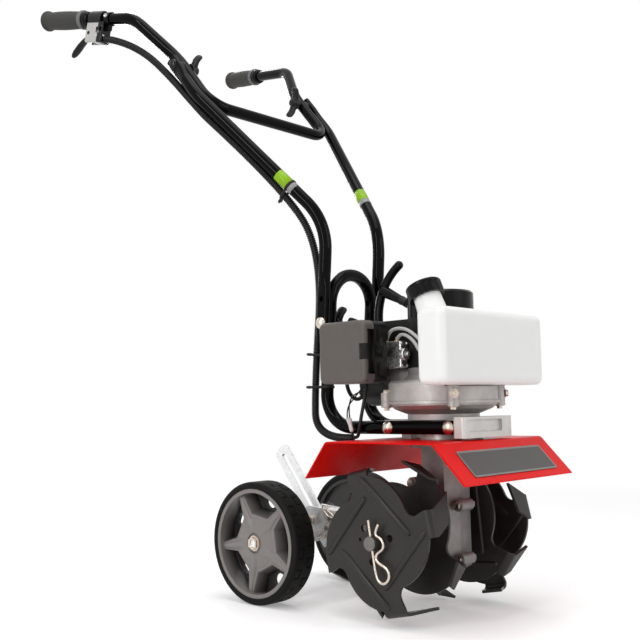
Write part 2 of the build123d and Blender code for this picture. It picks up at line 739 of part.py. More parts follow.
def engine_castings():
    inside = drum_radius + 3.0
    cup = turned([(15, clutch_floor), (clutch_neck, clutch_floor), (clutch_neck, clutch_floor + 8),
                  (clutch_neck + 8, clutch_floor + 11), (clutch_radius - 8, clutch_floor + 15),
                  (clutch_radius - 2, clutch_floor + 20), (clutch_radius - 2, clutch_top - 4),
                  (clutch_radius + 1.5, clutch_top - 4), (clutch_radius + 1.5, clutch_top),
                  (inside, clutch_top),
                  (inside, clutch_floor + 4), (15, clutch_floor + 4)], 0, crank_y)
    for x, y in deck_lugs():
        cup += rod_z(clutch_top - 8, clutch_top, x, y, deck_lug_radius)
    add("clutch_housing", cup - rod_z(clutch_floor + 4, clutch_top + 1, 0, crank_y, inside))

    case = turned([(0, clutch_top), (clutch_radius, clutch_top), (clutch_radius, deck_top - 3),
                   (clutch_radius - 3, deck_top), (crankcase_radius + 8, deck_top),
                   (crankcase_radius, deck_top + 8), (crankcase_radius, shroud_low), (0, shroud_low)],
                  0, crank_y)
    for x, y in deck_lugs():
        case += rod_z(clutch_top, tank_low - 8, x, y, deck_lug_radius)
    rear = tank_front + tank_depth
    case -= block((-tank_half, tank_half), (tank_front, rear + 1), (tank_low - 1, shroud_low + 1))
    for x, y in deck_lugs()[:2]:
        case += rod_z(clutch_top, tank_low - seat_gap, x, y, deck_lug_radius)
    case -= block((-27, 27), (cylinder_face, 60), (cylinder_height - 22, deck_top + 1))
    pad = block((-32, 32), (crank_y, cylinder_face), (clutch_top + 4, shroud_low))
    case += fillet(pad.edges().filter_by(Axis.Y), 5.0)
    case -= rod_z(cylinder_height - 12, cylinder_height + 12, 0, crank_y, 27.0)
    case -= rod_z(clutch_top - 5, shroud_low + 5, 0, crank_y, crank_radius + running_gap)
    add("crankcase", case)

    shaft = rod_z(drum_floor + 5, crank_top, 0, crank_y, crank_radius)
    shaft += rod_z(cylinder_height - 9, cylinder_height + 9, 0, crank_y, 24.0)
    shaft += rod_z(drum_floor + 5, drum_top - 2, 0, crank_y, 33.0)
    wheel = rod_z(shroud_low + 8, shroud_low + 34, 0, crank_y, flywheel_radius)
    for blade in range(12):
        vane = block((22, flywheel_radius - 2), (-1.2, 1.2), (shroud_low + 30, shroud_low + 50))
        wheel += Pos(0, crank_y, 0) * Rot(0, 0, 30.0 * blade) * vane
    wheel -= rod_z(shroud_low, shroud_high, 0, crank_y, crank_radius + running_gap)
    add("crankshaft", shaft, wheel)


fin_radius = 33.0
fin_start = cylinder_face + 18.0
head_face = fin_start + fin_count * fin_pitch
manifold_x = (-41.0, -30.0)
exhaust_face = 40.0


def cylinder_group():
    barrel = rod_y(cylinder_face, head_face, 0, cylinder_height, 20.0)
    for fin in range(fin_count):
        y = fin_start + fin * fin_pitch
        barrel += rod_y(y, y + 2.2, 0, cylinder_height, fin_radius)
    barrel += block((-26, 26), (cylinder_face, cylinder_face + 5),
                    (cylinder_height - 19, cylinder_height + 16))
    manifold = block(manifold_x, (8, 60), (cylinder_height + 23, cylinder_height + 45))
    manifold = fillet(manifold.edges().filter_by(Axis.Y), 4.0)
    barrel += manifold + block((manifold_x[0], -14), (46, 60), (cylinder_height + 8, cylinder_height + 45))
    barrel += block((14, exhaust_face), (56, 78), (cylinder_height - 11, cylinder_height + 11))
    barrel -= rod_y(head_face - 6, head_face + 1, 0, cylinder_height, 5.0 + free_gap)
    add("cylinder", barrel)

    scroll = rod_y(fin_start, head_face - 2, 0, cylinder_height, fin_radius + 1.8)
    scroll -= rod_y(cylinder_face, head_face, 0, cylinder_height, fin_radius + 0.3)
    scroll -= block((-60, 60), (0, 150), (cylinder_height + 6, cylinder_height + 60))
    scroll -= block((20, 60), (54, 80), (cylinder_height - 13, cylinder_height + 20))
    add("cylinder_scroll", scroll)

    muffler = rounded((exhaust_face + seat_gap, 88), (42, 106),
                      (cylinder_height - 30, cylinder_height + 32), 9.0)
    muffler += rod_y(33, 46, 66, cylinder_height - 14, 6.0)
    muffler -= rod_y(32, 52, 66, cylinder_height - 14, 4.5)
    add("muffler", muffler)


def spark_lead():
    elbow = (0, head_face + 9, cylinder_height - 2)
    tip = (-6, head_face + 16, cylinder_height - 19)
    boot = rod((0, head_face + 2.0, cylinder_height), elbow, 8.0) + Pos(*elbow) * Sphere(8.0)
    boot += rod(elbow, tip, 8.0)
    boot += rod_y(head_face - 5, head_face + 4, 0, cylinder_height, 5.0)
    lead = swept([tip, (-9, head_face + 24, cylinder_height - 28),
                  (-24, head_face + 30, cylinder_height - 14),
                  (-36, head_face + 24, cylinder_height + 16), (-34, 92, shroud_high - 26),
                  (-20, shroud_rear + 2.0, shroud_high - 18)], [6, 14, 24, 24], 3.0)
    add("spark_plug_lead", boot, lead - boot)


rope_exit = (-5.0, 18.0, 430.5)
pull_centre = (-5.0, 69.0, 456.0)
rope_radius = 2.0
pull_half = 45.0
pull_radius_bar = 6.5
shroud_wall = 2.5
shroud_round = 46.0
hood_low = cylinder_height + 48.0


def rope_way():
    return (Vector(*pull_centre) - Vector(*rope_exit)).normalized()


def shroud_outline(inset):
    ring = Pos(0, crank_y) * Circle(shroud_round - inset)
    side = (-28.0 + inset, shroud_half - inset)
    rear = shroud_rear - inset
    hood = Pos((side[0] + side[1]) / 2, (crank_y + rear) / 2) * Rectangle(side[1] - side[0], rear - crank_y)
    return ring + hood


def shroud_group():
    wall = shroud_wall
    outer = extrude(Plane.XY.offset(shroud_low) * shroud_outline(0), amount=shroud_high - shroud_low)
    inner = extrude(Plane.XY.offset(shroud_low + wall) * shroud_outline(wall),
                    amount=shroud_high - shroud_low - 2 * wall)
    shell = outer - inner
    shell -= block((-45, 95), (26, 80), (shroud_low - 1, hood_low))
    shell -= rod_z(shroud_high - 10, shroud_high + 1, 0, crank_y, recoil_radius - 8)
    shell -= rod_z(shroud_low - 5, shroud_low + 8, 0, crank_y, crank_radius + free_gap)
    add("fan_shroud", shell)

    hollow = recoil_radius - 3.0
    recoil = turned([(0, shroud_high), (recoil_radius, shroud_high), (recoil_radius, recoil_top - 3),
                     (recoil_radius - 3, recoil_top), (0, recoil_top)], 0, crank_y)
    inside = rod_z(shroud_high - 1, recoil_top - 4, 0, crank_y, hollow)
    recoil -= inside
    for slot in range(8):
        cut = block((14, 36), (-3, 3), (recoil_top - 6, recoil_top + 1))
        recoil -= Pos(0, crank_y, 0) * Rot(0, 0, 45.0 * slot) * cut
    outlet = Vector(*rope_exit)
    way = rope_way()
    recoil += rod(tuple(outlet - way * 12), tuple(outlet + way * 6), 7.0) - inside
    recoil -= rod(tuple(outlet - way * 40), tuple(outlet + way * 7), rope_radius + 1.0)
    add("recoil_housing", recoil)


def recoil_pull():
    way = rope_way()
    bar_way = Vector(0, -way.Z, way.Y)
    centre = Vector(*pull_centre)
    ends = [centre + bar_way * (side * pull_half) - way * 12.0 for side in (-1, 1)]
    arc = ThreePointArc(ends[0], centre, ends[1])
    bar = sweep(Plane(origin=arc @ 0, z_dir=arc % 0) * Circle(pull_radius_bar), path=arc)
    bar += [Pos(*end) * Sphere(pull_radius_bar) for end in ends]
    stem_end = centre - way * 38.0
    bar += Plane(origin=stem_end, z_dir=way) * Cone(6.0, 9.0, 38.0,
                                                        align=(Align.CENTER, Align.CENTER, Align.MIN))
    add("recoil_handle", bar)
    inside = Vector(*rope_exit) - way * 8.0
    add("recoil_rope", rod(tuple(inside), tuple(stem_end - way * seat_gap), rope_radius))


# Fuel tank: hollow moulded box with a leaning filler neck
def neck_plane():
    lean = radians(neck_lean)
    foot = (neck_across, tank_front + neck_behind, tank_high - 14.0)
    return Plane(origin=foot, x_dir=(1, 0, 0), z_dir=(0, sin(lean), cos(lean)))


neck_length = 46.0
hose_radius = 2.4
carb_y = (-2.0, 36.0)
carb_z = (338.0, 376.0)


def tank_group():
    rear = tank_front + tank_depth
    wall = tank_wall
    outer = rounded((-tank_half, tank_half), (tank_front, rear), (tank_low, tank_high), 11.0)
    inner = rounded((-tank_half + wall, tank_half - wall), (tank_front + wall, rear - wall),
                    (tank_low + wall, tank_high - wall), 11.0 - wall)
    neck = neck_plane() * Cone(neck_radius + 1.5, neck_radius - 1.0, neck_length,
                               align=(Align.CENTER, Align.CENTER, Align.MIN))
    bore = neck_plane() * Cylinder(neck_bore, neck_length + 1, align=(Align.CENTER, Align.CENTER, Align.MIN))
    add("fuel_tank", outer + neck - inner - bore)

    rim = 2.5
    cap = Cylinder(cap_radius, cap_height, align=(Align.CENTER, Align.CENTER, Align.MIN))
    cap = fillet(cap.edges().sort_by(Axis.Z)[-1], 3.0)
    for groove in range(18):
        cap -= Rot(0, 0, 20.0 * groove) * Pos(cap_radius + 0.6, 0, 0) * Cylinder(1.8, 2 * (cap_height - 5))
    cap -= Cylinder(neck_radius + 2 * free_gap, 2 * (cap_height - rim))
    add("fuel_cap", neck_plane().offset(neck_length - cap_height + rim + seat_gap) * cap)

    feed = swept([(-72, rear + seat_gap, 360), (-72, rear + 20, 360), (-64, -38, 377), (-60, -16, 391),
                  (-55, 8, 394), (-50, 24, 389), (-49, 29, carb_z[1] + 1.8)],
                 [12, 30, 30, 30, 6], hose_radius)
    back = swept([(-84, rear + seat_gap, 352), (-84, rear + 20, 352), (-67, -34, 372), (-60, -13, 384),
                  (-53, 4, 384), (-50, 10, carb_z[1] + 1.8)], [12, 30, 20, 5], hose_radius)
    add("fuel_lines", feed, back)


# Intake side: carburettor, choke, and the boxed air filter
choke_place = (-74.0, 362.0)


def intake_group():
    body = rounded((filter_back + seat_gap, manifold_x[0] - seat_gap), carb_y, carb_z, 2.5)
    bowl = rod_y(carb_y[0] - 6, carb_y[0] + 1, -51.5, 357, 9.0)
    body += fillet(bowl.edges().sort_by(Axis.Y)[0], 2.0)
    add("carburettor", body)

    tray = block((filter_split, filter_back), (filter_front, filter_rear), (filter_low, filter_high))
    tray = fillet(tray.edges().filter_by(Axis.X), 9.0)
    tray -= block((filter_split - 1, filter_back - 5), (filter_front + 5, filter_rear - 5),
                  (filter_low + 5, filter_high - 5))
    tray -= rod_x(filter_back - 6, filter_back + 1, 40, 357, 9.0)
    for z in (filter_low + 10, filter_high - 28):
        tab = block((filter_back - 18, filter_back - 1), (filter_front - 3.5, filter_front + 1), (z, z + 18))
        tray += fillet(tab.edges().filter_by(Axis.Y), 3.0)
    tray -= rod_y(filter_front - 1, filter_front + 4, *choke_place, 4.0 + running_gap)
    add("air_filter_base", tray)

    lid = block((filter_face, filter_split - seat_gap), (filter_front, filter_rear),
                (filter_low, filter_high))
    lid = fillet(lid.edges().filter_by(Axis.X), 9.0)
    lid = fillet(lid.faces().sort_by(Axis.X)[0].edges(), 5.0)
    lid -= block((filter_face + 3, filter_split), (filter_front + 4, filter_rear - 4),
                 (filter_low + 4, filter_high - 4))
    middle = (filter_low + filter_high) / 2
    lid -= block((filter_face + 7, filter_split), (filter_front - 1, filter_front + 6),
                 (middle - 31, middle + 31))
    lid -= block((filter_face - 1, filter_face + 8), (filter_front - 1, filter_front + 10),
                 (middle - 11, middle + 11))
    add("air_filter_cover", lid)

    foam = block((filter_face + 8, filter_back - 5 - seat_gap), (filter_front + 14, filter_rear - 8),
                 (filter_low + 8, filter_high - 8))
    add("air_filter_element", fillet(foam.edges().filter_by(Axis.X), 6.0))

    knob = rod_y(filter_front - 9, filter_front - free_gap, *choke_place, 8.0)
    knob += rod_y(filter_front - 1, filter_front + 3, *choke_place, 4.0)
    lever_y = filter_front - 7.5
    lever_tip = (choke_place[0] - 5, lever_y, choke_place[1] + 17)
    knob += rod((choke_place[0], lever_y, choke_place[1]), lever_tip, 2.5)
    add("choke_lever", knob)


# Wires and cables that the frame holds
pull_radius = 2.5


def cable_group():
    loom_end = Vector(*loom_points()[-1])
    add("cable_loom", ribbed(loom_path(), lower_ribs))
    add("throttle_cable", ribbed(upper_loom_path(), upper_ribs))

    outside = -(frame_half + tube_radius + 5.0)
    start = loom_end + Vector(0, 8.0, 0)
    pull = swept([tuple(start), (start.X, 84, start.Z), (outside, 74, start.Z + 6), (outside, 69, 272),
                  (-55, 66, 302), (-50, 64, 332), (-49, carb_y[1] + 1.6, 350)],
                 [10, 10, 40, 60, 30], pull_radius)
    wires = [pull]
    for place in (0, 1):
        x = outside - 1.5 - 6.0 * place
        begin = loom_end + Vector(-4.2 + 2.6 * place, -free_gap, -3.4 * place)
        foot = (x, 86.0 - 6 * place, 250.0)
        stop = (x, 86.0 - 6 * place, 249.3)
        high = (x, 94.0 - 10 * place, 270.0)
        reach = fin_radius + 3.0
        drop = radians(10.0 + 10.0 * place)
        last = (-reach * cos(drop), 86.0 - 6 * place, cylinder_height - reach * sin(drop))
        wires.append(swept([tuple(begin), (begin.X - 1, 86.0 - 4 * place, begin.Z), stop], [3], 1.0))
        wires.append(rod(foot, high, 2.4))
        wires.append(swept([high, (x + 2, 97.0 - 8 * place, 284.0 + 6 * place),
                            (x + 18, 94.0 - 6 * place, 300.0 + 7 * place), last], [10, 12], 1.0))
    add("lower_cables", *wires)
    ties = [cable_tie(frame_path(), share) for share in (0.72, 0.80)]
    add("cable_ties", *ties, cable_tie(handle_path(), 0.30))


def cable_tie(tube_path, share):
    loom = loom_path() @ share
    places = [step / 400 for step in range(401)]
    nearest = min(places, key=lambda place: (tube_path @ place - loom).length)
    tube = tube_path @ nearest
    way = tube_path % nearest
    gap = loom - tube
    gap = gap - way * gap.dot(way)
    plane = Plane(origin=tube + gap * 0.5, x_dir=gap, z_dir=way)
    inner = tube_radius + free_gap
    band = SlotCenterToCenter(gap.length, 2 * inner + 2.4) - SlotCenterToCenter(gap.length, 2 * inner)
    return extrude(plane * band, amount=2.0, both=True)


# Transport wheels, their bracket, the hitch bar and the drag stake
hub_radius = 14.0
web_inset = 7.0
star_arms = 5
star_root = (42.0, 9.5)
star_tip = (75.0, 4.5)
star_depth = 23.0
star_spread = 5.0
star_turn = -8.0
floor_thick = 3.5
floor_hole = 10.0
floor_hole_place = 60.0


def star_face(spread):
    corners = []
    for arm in range(star_arms):
        angle = radians(star_turn + 360.0 / star_arms * arm)
        root = (star_root[0] + spread, star_root[1] + spread)
        tip = (star_tip[0] + spread, star_tip[1] + spread)
        for reach, half in ((root[0], -root[1]), (tip[0], -tip[1]), tip, root):
            corners.append((reach * cos(angle) - half * sin(angle), reach * sin(angle) + half * cos(angle)))
    return make_face(Polyline(*corners, close=True))


def wheel_right():
    outer = -wheel_outer_face
    inner = outer + wheel_width
    y, z = wheel_behind, wheel_radius
    rim = rod_x(outer + 1, inner - 1, y, z, rim_radius - running_gap)
    rim -= rod_x(outer, inner, y, z, rim_radius - 6.0)
    boss = rod_x(outer + web_inset - 2, inner - 1, y, z, hub_radius)
    floor_x = outer + web_inset + star_depth
    floor = rod_x(floor_x, floor_x + floor_thick, y, z, rim_radius - 3)
    for arm in range(star_arms):
        hole = ring_point(floor_hole_place, star_turn + 360.0 / star_arms * (arm + 0.5))
        floor -= rod_x(outer, inner, y + hole[0], z + hole[1], floor_hole)
    star = loft([Plane.YZ * star_face(0.0), Plane.YZ.offset(star_depth) * star_face(star_spread)], ruled=True)
    star = fillet(star.faces().sort_by(Axis.X)[0].edges(), 2.0)
    star = Pos(outer + web_inset, y, z) * star & rod_x(outer, inner, y, z, rim_radius - 3)
    hub = rim + boss + floor + star
    hub -= rod_x(outer - 1, inner + 1, y, z, wheel_axle_radius + running_gap)

    tyre = rod_x(outer, inner, y, z, wheel_radius) - rod_x(outer - 1, inner + 1, y, z, rim_radius)
    tyre = fillet(tyre.edges().sort_by(Axis.X)[0:1] + tyre.edges().sort_by(Axis.X)[-1:], 0.5)
    for block_place in range(18):
        turn = 20.0 * block_place
        for low, high, extra in ((outer - 1, outer + 13, 0.0), (inner - 13, inner + 1, 10.0)):
            notch = block((low, high), (-2, 2), (wheel_radius - 1.8, wheel_radius + 2))
            tyre -= Pos(0, y, z) * Rot(turn + extra, 0, 0) * notch
    return hub, tyre


bracket_wall = 3.0
pin_places = ((170.0, 117.0), (176.0, 103.0))
pin_radius = 4.0
hitch_end = 184.0
stake_bolt_place = (214.0, 112.0)
stake_lean = 36.9
stake_width = 30.0
stake_thick = 5.0
stake_slot = 10.0
stake_up = 136.0
stake_down = 56.0


def hitch_group():
    bar = block((-hitch_half, hitch_half), (hitch_front, hitch_end), hitch_band)
    bar = fillet(bar.edges().filter_by(Axis.X).sort_by(Axis.Y)[-2:], 4.0)
    for y, z in pin_places:
        bar -= rod_x(-40, 40, y, z, pin_radius + bolt_gap)
    add("hitch_bar", bar)

    inside = hitch_half + seat_gap
    outside = inside + bracket_wall
    profile = Polyline((164, 92), (164, 129), (220, 134), (246, 112), (246, 78), (214, 78), close=True)
    side = extrude(Plane.YZ * make_face(profile), amount=bracket_wall)
    bracket = Pos(inside, 0, 0) * side + Pos(-outside, 0, 0) * side
    web_low = hitch_band[1] + free_gap
    bracket += block((-outside, outside), (164, 200), (web_low, web_low + bracket_wall - 0.6))
    sleeve_end = wheel_outer_face - wheel_width - 1.0
    for side in (-1, 1):
        ends = sorted((side * inside, side * sleeve_end))
        bracket += rod_x(*ends, wheel_behind, wheel_radius, 9.5)
    axle_end = wheel_outer_face - 1
    bracket += rod_x(-axle_end, axle_end, wheel_behind, wheel_radius, wheel_axle_radius)
    for y, z in pin_places:
        bracket -= rod_x(-40, 40, y, z, pin_radius + bolt_gap)
    bracket -= rod_x(-40, 40, *stake_bolt_place, bolt_radius + bolt_gap)
    add("wheel_bracket", bracket)

    pins = []
    for (y, z), turn in zip(pin_places, (130.0, 40.0)):
        pin = rod_x(-outside - 8, outside + seat_gap + 3, y, z, pin_radius)
        pin += rod_x(outside + seat_gap, outside + seat_gap + 3, y, z, pin_radius + 3)
        hole_x = -outside - 4.0
        clip = [(0, 8), (0, -20), (4.5, -27), (9, -20), (5.7, -12), (8.0, 0), (5, 10)]
        wire = swept([(hole_x, u, v) for u, v in clip], [3.5, 3.5, 3.5, 6, 6], 1.2)
        hole = rod_z(-12, 14, hole_x, 0, 1.3)
        pins.append(pin - Pos(0, y, z) * Rot(turn, 0, 0) * hole)
        pins.append(Pos(0, y, z) * Rot(turn, 0, 0) * wire)
    add("bracket_fasteners", *pins, *wheel_fasteners())


def drag_stake():
    length = stake_up + stake_down
    bar = RectangleRounded(stake_width, length, 9.0)
    slot = Pos(0, 10) * SlotOverall(length - 44.0, stake_slot, rotation=90)
    bar = extrude(bar - slot, amount=stake_thick / 2, both=True)
    bar = Plane.YZ * (Pos(0, (stake_up - stake_down) / 2, 0) * bar)
    return Pos(0, *stake_bolt_place) * Rot(-stake_lean, 0, 0) * bar


def wheel_fasteners():
    outside = hitch_half + seat_gap + bracket_wall
    face = outside + seat_gap
    stud = rod_x(-face - 6, face + 8, *stake_bolt_place, bolt_radius)
    for side in (-1, 1):
        ends = sorted((side * face, side * (face + 6)))
        stud += Pos(ends[0], *stake_bolt_place) * Rot(0, 90, 0) * extrude(RegularPolygon(7.5, 6), amount=6.0)
        collar = sorted((side * (stake_thick / 2 + free_gap), side * (hitch_half - free_gap)))
        stud += rod_x(*collar, *stake_bolt_place, 8.0)
    pieces = [stud]
    for side in (-1, 1):
        web = wheel_outer_face - web_inset + 2.0 + free_gap
        nut = extrude(RegularPolygon(9.5, 6), amount=6.0)
        nut += Cylinder(11.0, 2.0, align=(Align.CENTER, Align.CENTER, Align.MIN))
        nut -= Cylinder(wheel_axle_radius + running_gap, 40.0)
        pieces.append(Pos(side * web, wheel_behind, wheel_radius) * Rot(0, side * 90, 0) * nut)
    return pieces


def export_all():
    os.makedirs("parts", exist_ok=True)
    box = Compound([solid for shape in nodes.values() for solid in shape.solids()]).bounding_box()
    shift = Vector(-(box.min.X + box.max.X) / 2, -(box.min.Y + box.max.Y) / 2, -box.min.Z)
    for name, shape in nodes.items():
        export_step(shape.moved(Location(shift)), f"parts/{name}.step")
    print("size", box.size, "shift", shift, "nodes", len(nodes))


add("frame_tube", frame_tube())
right_handle = lower_handle()
add("lower_handle_right", right_handle)
add("lower_handle_left", across(right_handle))
add("upper_handlebar", upper_handlebar())
add("handle_saddles", handle_saddle(), across(handle_saddle()))
add("grip_right", grip())
add("grip_left", across(grip()))
bolts_and_knobs()
throttle_control()
for side, word in ((-1, "right"), (1, "left")):
    add(f"tine_outer_{word}", tine_on_axle(side, tine_plane, outer_hook, tine_turn))
    add(f"tine_inner_{word}", tine_on_axle(side, inner_tine_plane, -inner_hook, tine_turn + 45.0))
add("tine_axle", tine_axle())
add("tine_clips", tine_clip(), across(tine_clip()))
add("worm_shaft", worm_shaft())
add("worm_wheel", worm_wheel())
left_case = gearcase_left()
add("gearcase_left", left_case)
add("gearcase_right", across(left_case))
add("gearcase_bearings", *gearcase_bearings())
add("fender", fender())
add("base_casting", base_casting())
engine_castings()
cylinder_group()
spark_lead()
shroud_group()
recoil_pull()
tank_group()
intake_group()
cable_group()
hub_right, tyre_right = wheel_right()
add("wheel_hub_right", hub_right)
add("wheel_hub_left", across(hub_right))
add("tyre_right", tyre_right)
add("tyre_left", across(tyre_right))
hitch_group()
add("drag_stake", drag_stake())
export_all()
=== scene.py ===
import bmesh
import bpy
from math import atan2, cos, pi, radians, sin
from mathutils import Matrix, Vector


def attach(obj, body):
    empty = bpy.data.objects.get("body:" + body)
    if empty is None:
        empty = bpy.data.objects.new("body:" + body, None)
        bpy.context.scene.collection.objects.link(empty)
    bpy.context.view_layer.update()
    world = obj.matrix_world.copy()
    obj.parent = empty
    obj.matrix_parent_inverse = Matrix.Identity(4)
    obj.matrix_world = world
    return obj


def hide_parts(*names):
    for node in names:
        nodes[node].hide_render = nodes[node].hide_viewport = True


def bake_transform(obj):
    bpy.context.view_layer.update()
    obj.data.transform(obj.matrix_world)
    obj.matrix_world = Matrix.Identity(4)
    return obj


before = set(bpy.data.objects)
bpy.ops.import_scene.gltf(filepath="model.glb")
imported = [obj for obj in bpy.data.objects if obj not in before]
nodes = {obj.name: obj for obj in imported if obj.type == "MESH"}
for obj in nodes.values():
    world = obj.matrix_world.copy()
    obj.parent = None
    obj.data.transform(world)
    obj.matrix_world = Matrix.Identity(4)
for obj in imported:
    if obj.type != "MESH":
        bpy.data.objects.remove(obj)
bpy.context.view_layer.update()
mm = 0.001
drawingShift = -252.085  # where the drawing's Y zero lies in the frame, mm
bothSides = ((-1, "right"), (1, "left"))


# camera and studio

camera = {
    "place": (-1.0680, -1.0451, 0.2890),
    "yaw": -47.0,
    "pitch": -5.25,
    "roll": -1.07,
    "lens": 52.09,
    "sensor": 36.0,
    "clipStart": 0.01,
}


def makeCamera():
    data = bpy.data.cameras.new("photoCamera")
    data.lens = camera["lens"]
    data.sensor_width = camera["sensor"]
    data.sensor_fit = "HORIZONTAL"
    data.clip_start = camera["clipStart"]
    obj = bpy.data.objects.new("photoCamera", data)
    bpy.context.scene.collection.objects.link(obj)
    yaw, pitch, roll = (radians(camera[k]) for k in ("yaw", "pitch", "roll"))
    tilt = Matrix.Rotation(pi / 2 - pitch, 4, "X")
    turn = Matrix.Rotation(yaw, 4, "Z") @ tilt @ Matrix.Rotation(roll, 4, "Z")
    obj.matrix_world = Matrix.Translation(camera["place"]) @ turn
    bpy.context.scene.camera = obj


studio = {
    "ambient": 0.34,
    "white": (1, 1, 1, 1),
    "floorSize": 30.0,
    "floorColour": (0.96, 0.96, 0.96, 1),
    "floorFade": (0.9, 2.0),
    "floorLift": 0.26,
    "lamps": [
        # name, place, aim, width, height, watts
        ("topSoftbox", (-0.3, -0.4, 2.6), (0, 0, 0.4), 1.6, 1.6, 23),
        ("leftStrip", (-2.4, -0.3, 1.3), (0, 0, 0.5), 0.30, 2.2, 27),
        ("frontSoftbox", (0.5, -2.7, 1.5), (0, 0, 0.4), 1.4, 1.4, 18),
        ("rearStrip", (1.2, 2.2, 1.8), (0, 0.1, 0.5), 0.24, 2.0, 16),
    ],
}


def nodeTree(holder):
    holder.use_nodes = True
    holder.node_tree.nodes.clear()
    return holder.node_tree


def addNode(tree, kind, links=None, sockets=None, **settings):
    # a shader node with its own settings, its fixed socket values and its incoming links
    node = tree.nodes.new("ShaderNode" + kind)
    for key, value in settings.items():
        setattr(node, key, value)
    for key, value in (sockets or {}).items():
        node.inputs[key].default_value = value
    for key, source in (links or {}).items():
        tree.links.new(source, node.inputs[key])
    return node


def rayIsSeen(tree):
    # camera, glossy and transmission rays together, as one 0 to 1 value
    rays = addNode(tree, "LightPath").outputs
    first = addNode(tree, "Math", {0: rays["Is Camera Ray"], 1: rays["Is Glossy Ray"]}, operation="MAXIMUM")
    both = addNode(tree, "Math", {0: first.outputs[0], 1: rays["Is Transmission Ray"]}, operation="MAXIMUM")
    return both.outputs[0]


def makeWorld():
    scene = bpy.context.scene
    scene.view_settings.view_transform = "Standard"
    scene.world = bpy.data.worlds.new("studioWorld")
    tree = nodeTree(scene.world)
    lit = addNode(tree, "Background", None, {"Color": studio["white"], "Strength": studio["ambient"]})
    seen = addNode(tree, "Background", None, {"Color": studio["white"], "Strength": 1.0})
    mix = addNode(tree, "MixShader", {0: rayIsSeen(tree), 1: lit.outputs[0], 2: seen.outputs[0]})
    addNode(tree, "OutputWorld", {"Surface": mix.outputs[0]})


def makeLamps():
    for name, place, aim, width, height, watts in studio["lamps"]:
        data = bpy.data.lights.new(name, "AREA")
        data.shape = "RECTANGLE"
        data.size = width
        data.size_y = height
        data.energy = watts
        obj = bpy.data.objects.new(name, data)
        bpy.context.scene.collection.objects.link(obj)
        obj.location = place
        obj.rotation_euler = (Vector(aim) - Vector(place)).to_track_quat("-Z", "Y").to_euler()


def makeFloor():
    mesh = bpy.data.meshes.new("studioFloor")
    bm = bmesh.new()
    bmesh.ops.create_grid(bm, x_segments=1, y_segments=1, size=studio["floorSize"] / 2)
    bm.to_mesh(mesh)
    bm.free()
    floor = bpy.data.objects.new("studioFloor", mesh)
    bpy.context.scene.collection.objects.link(floor)
    mesh.materials.append(floorMaterial())


def floorMaterial():
    # matte where the object stands, and fading to white away from it
    material = bpy.data.materials.new("paleFloor")
    tree = nodeTree(material)
    place = addNode(tree, "TexCoord")
    length = addNode(tree, "VectorMath", {0: place.outputs["Object"]}, operation="LENGTH")
    near, far = studio["floorFade"]
    fade = addNode(tree, "MapRange", {"Value": length.outputs["Value"]}, {"From Min": near, "From Max": far})
    matte = addNode(tree, "BsdfDiffuse", None, {"Color": studio["floorColour"]})
    plain = addNode(tree, "Emission", None, {"Strength": 1.0})
    lift = addNode(tree, "Emission", None, {"Strength": studio["floorLift"]})
    lifted = addNode(tree, "AddShader", {0: matte.outputs[0], 1: lift.outputs[0]})
    faded = addNode(tree, "MixShader", {0: fade.outputs[0], 1: lifted.outputs[0], 2: plain.outputs[0]})
    pick = addNode(tree, "MixShader", {0: rayIsSeen(tree), 1: matte.outputs[0], 2: faded.outputs[0]})
    addNode(tree, "OutputMaterial", {"Surface": pick.outputs[0]})
    return material


# shared surface effects, each a node group that takes a place and gives colour, roughness and height

groups = {}
midGrey = (0.5, 0.5, 0.5, 1)


def newGroup(name, values):
    group = bpy.data.node_groups.new(name, "ShaderNodeTree")
    group.interface.new_socket("Vector", in_out="INPUT", socket_type="NodeSocketVector")
    for label, value in values.items():
        kind = "NodeSocketFloat" if isinstance(value, float) else "NodeSocketColor"
        group.interface.new_socket(label, in_out="INPUT", socket_type=kind).default_value = value
    for label, kind in (("Color", "Color"), ("Roughness", "Float"), ("Height", "Float")):
        group.interface.new_socket(label, in_out="OUTPUT", socket_type="NodeSocket" + kind)
    return group, group.nodes.new("NodeGroupInput").outputs


def endGroup(group, colour, rough, height):
    end = group.nodes.new("NodeGroupOutput")
    for label, source in (("Color", colour), ("Roughness", rough), ("Height", height)):
        group.links.new(source, end.inputs[label])


def skinGroup():
    # two sizes of mottling over a base colour, with fine grain for the bump
    group, given = newGroup("mottledSkin", {"Base": midGrey, "Fleck": midGrey, "Amount": 0.4, "Patch": 40.0,
                                            "Grain": 900.0, "Rough Low": 0.3, "Rough High": 0.5})
    patch = addNode(group, "TexNoise", {"Vector": given["Vector"], "Scale": given["Patch"]},
                    {"Detail": 5.0, "Roughness": 0.6}).outputs["Fac"]
    grain = addNode(group, "TexNoise", {"Vector": given["Vector"], "Scale": given["Grain"]},
                    {"Detail": 2.0}).outputs["Fac"]
    both = addNode(group, "Math", {0: patch, 1: grain}, operation="MULTIPLY")
    spread = addNode(group, "MapRange", {"Value": both.outputs[0], "To Max": given["Amount"]},
                     {"From Min": 0.14, "From Max": 0.40})
    mix = addNode(group, "Mix", {0: spread.outputs[0], 6: given["Base"], 7: given["Fleck"]}, data_type="RGBA")
    rough = addNode(group, "MapRange",
                    {"Value": patch, "To Min": given["Rough Low"], "To Max": given["Rough High"]},
                    {"From Min": 0.32, "From Max": 0.68})
    endGroup(group, mix.outputs[2], rough.outputs[0], grain)
    return group


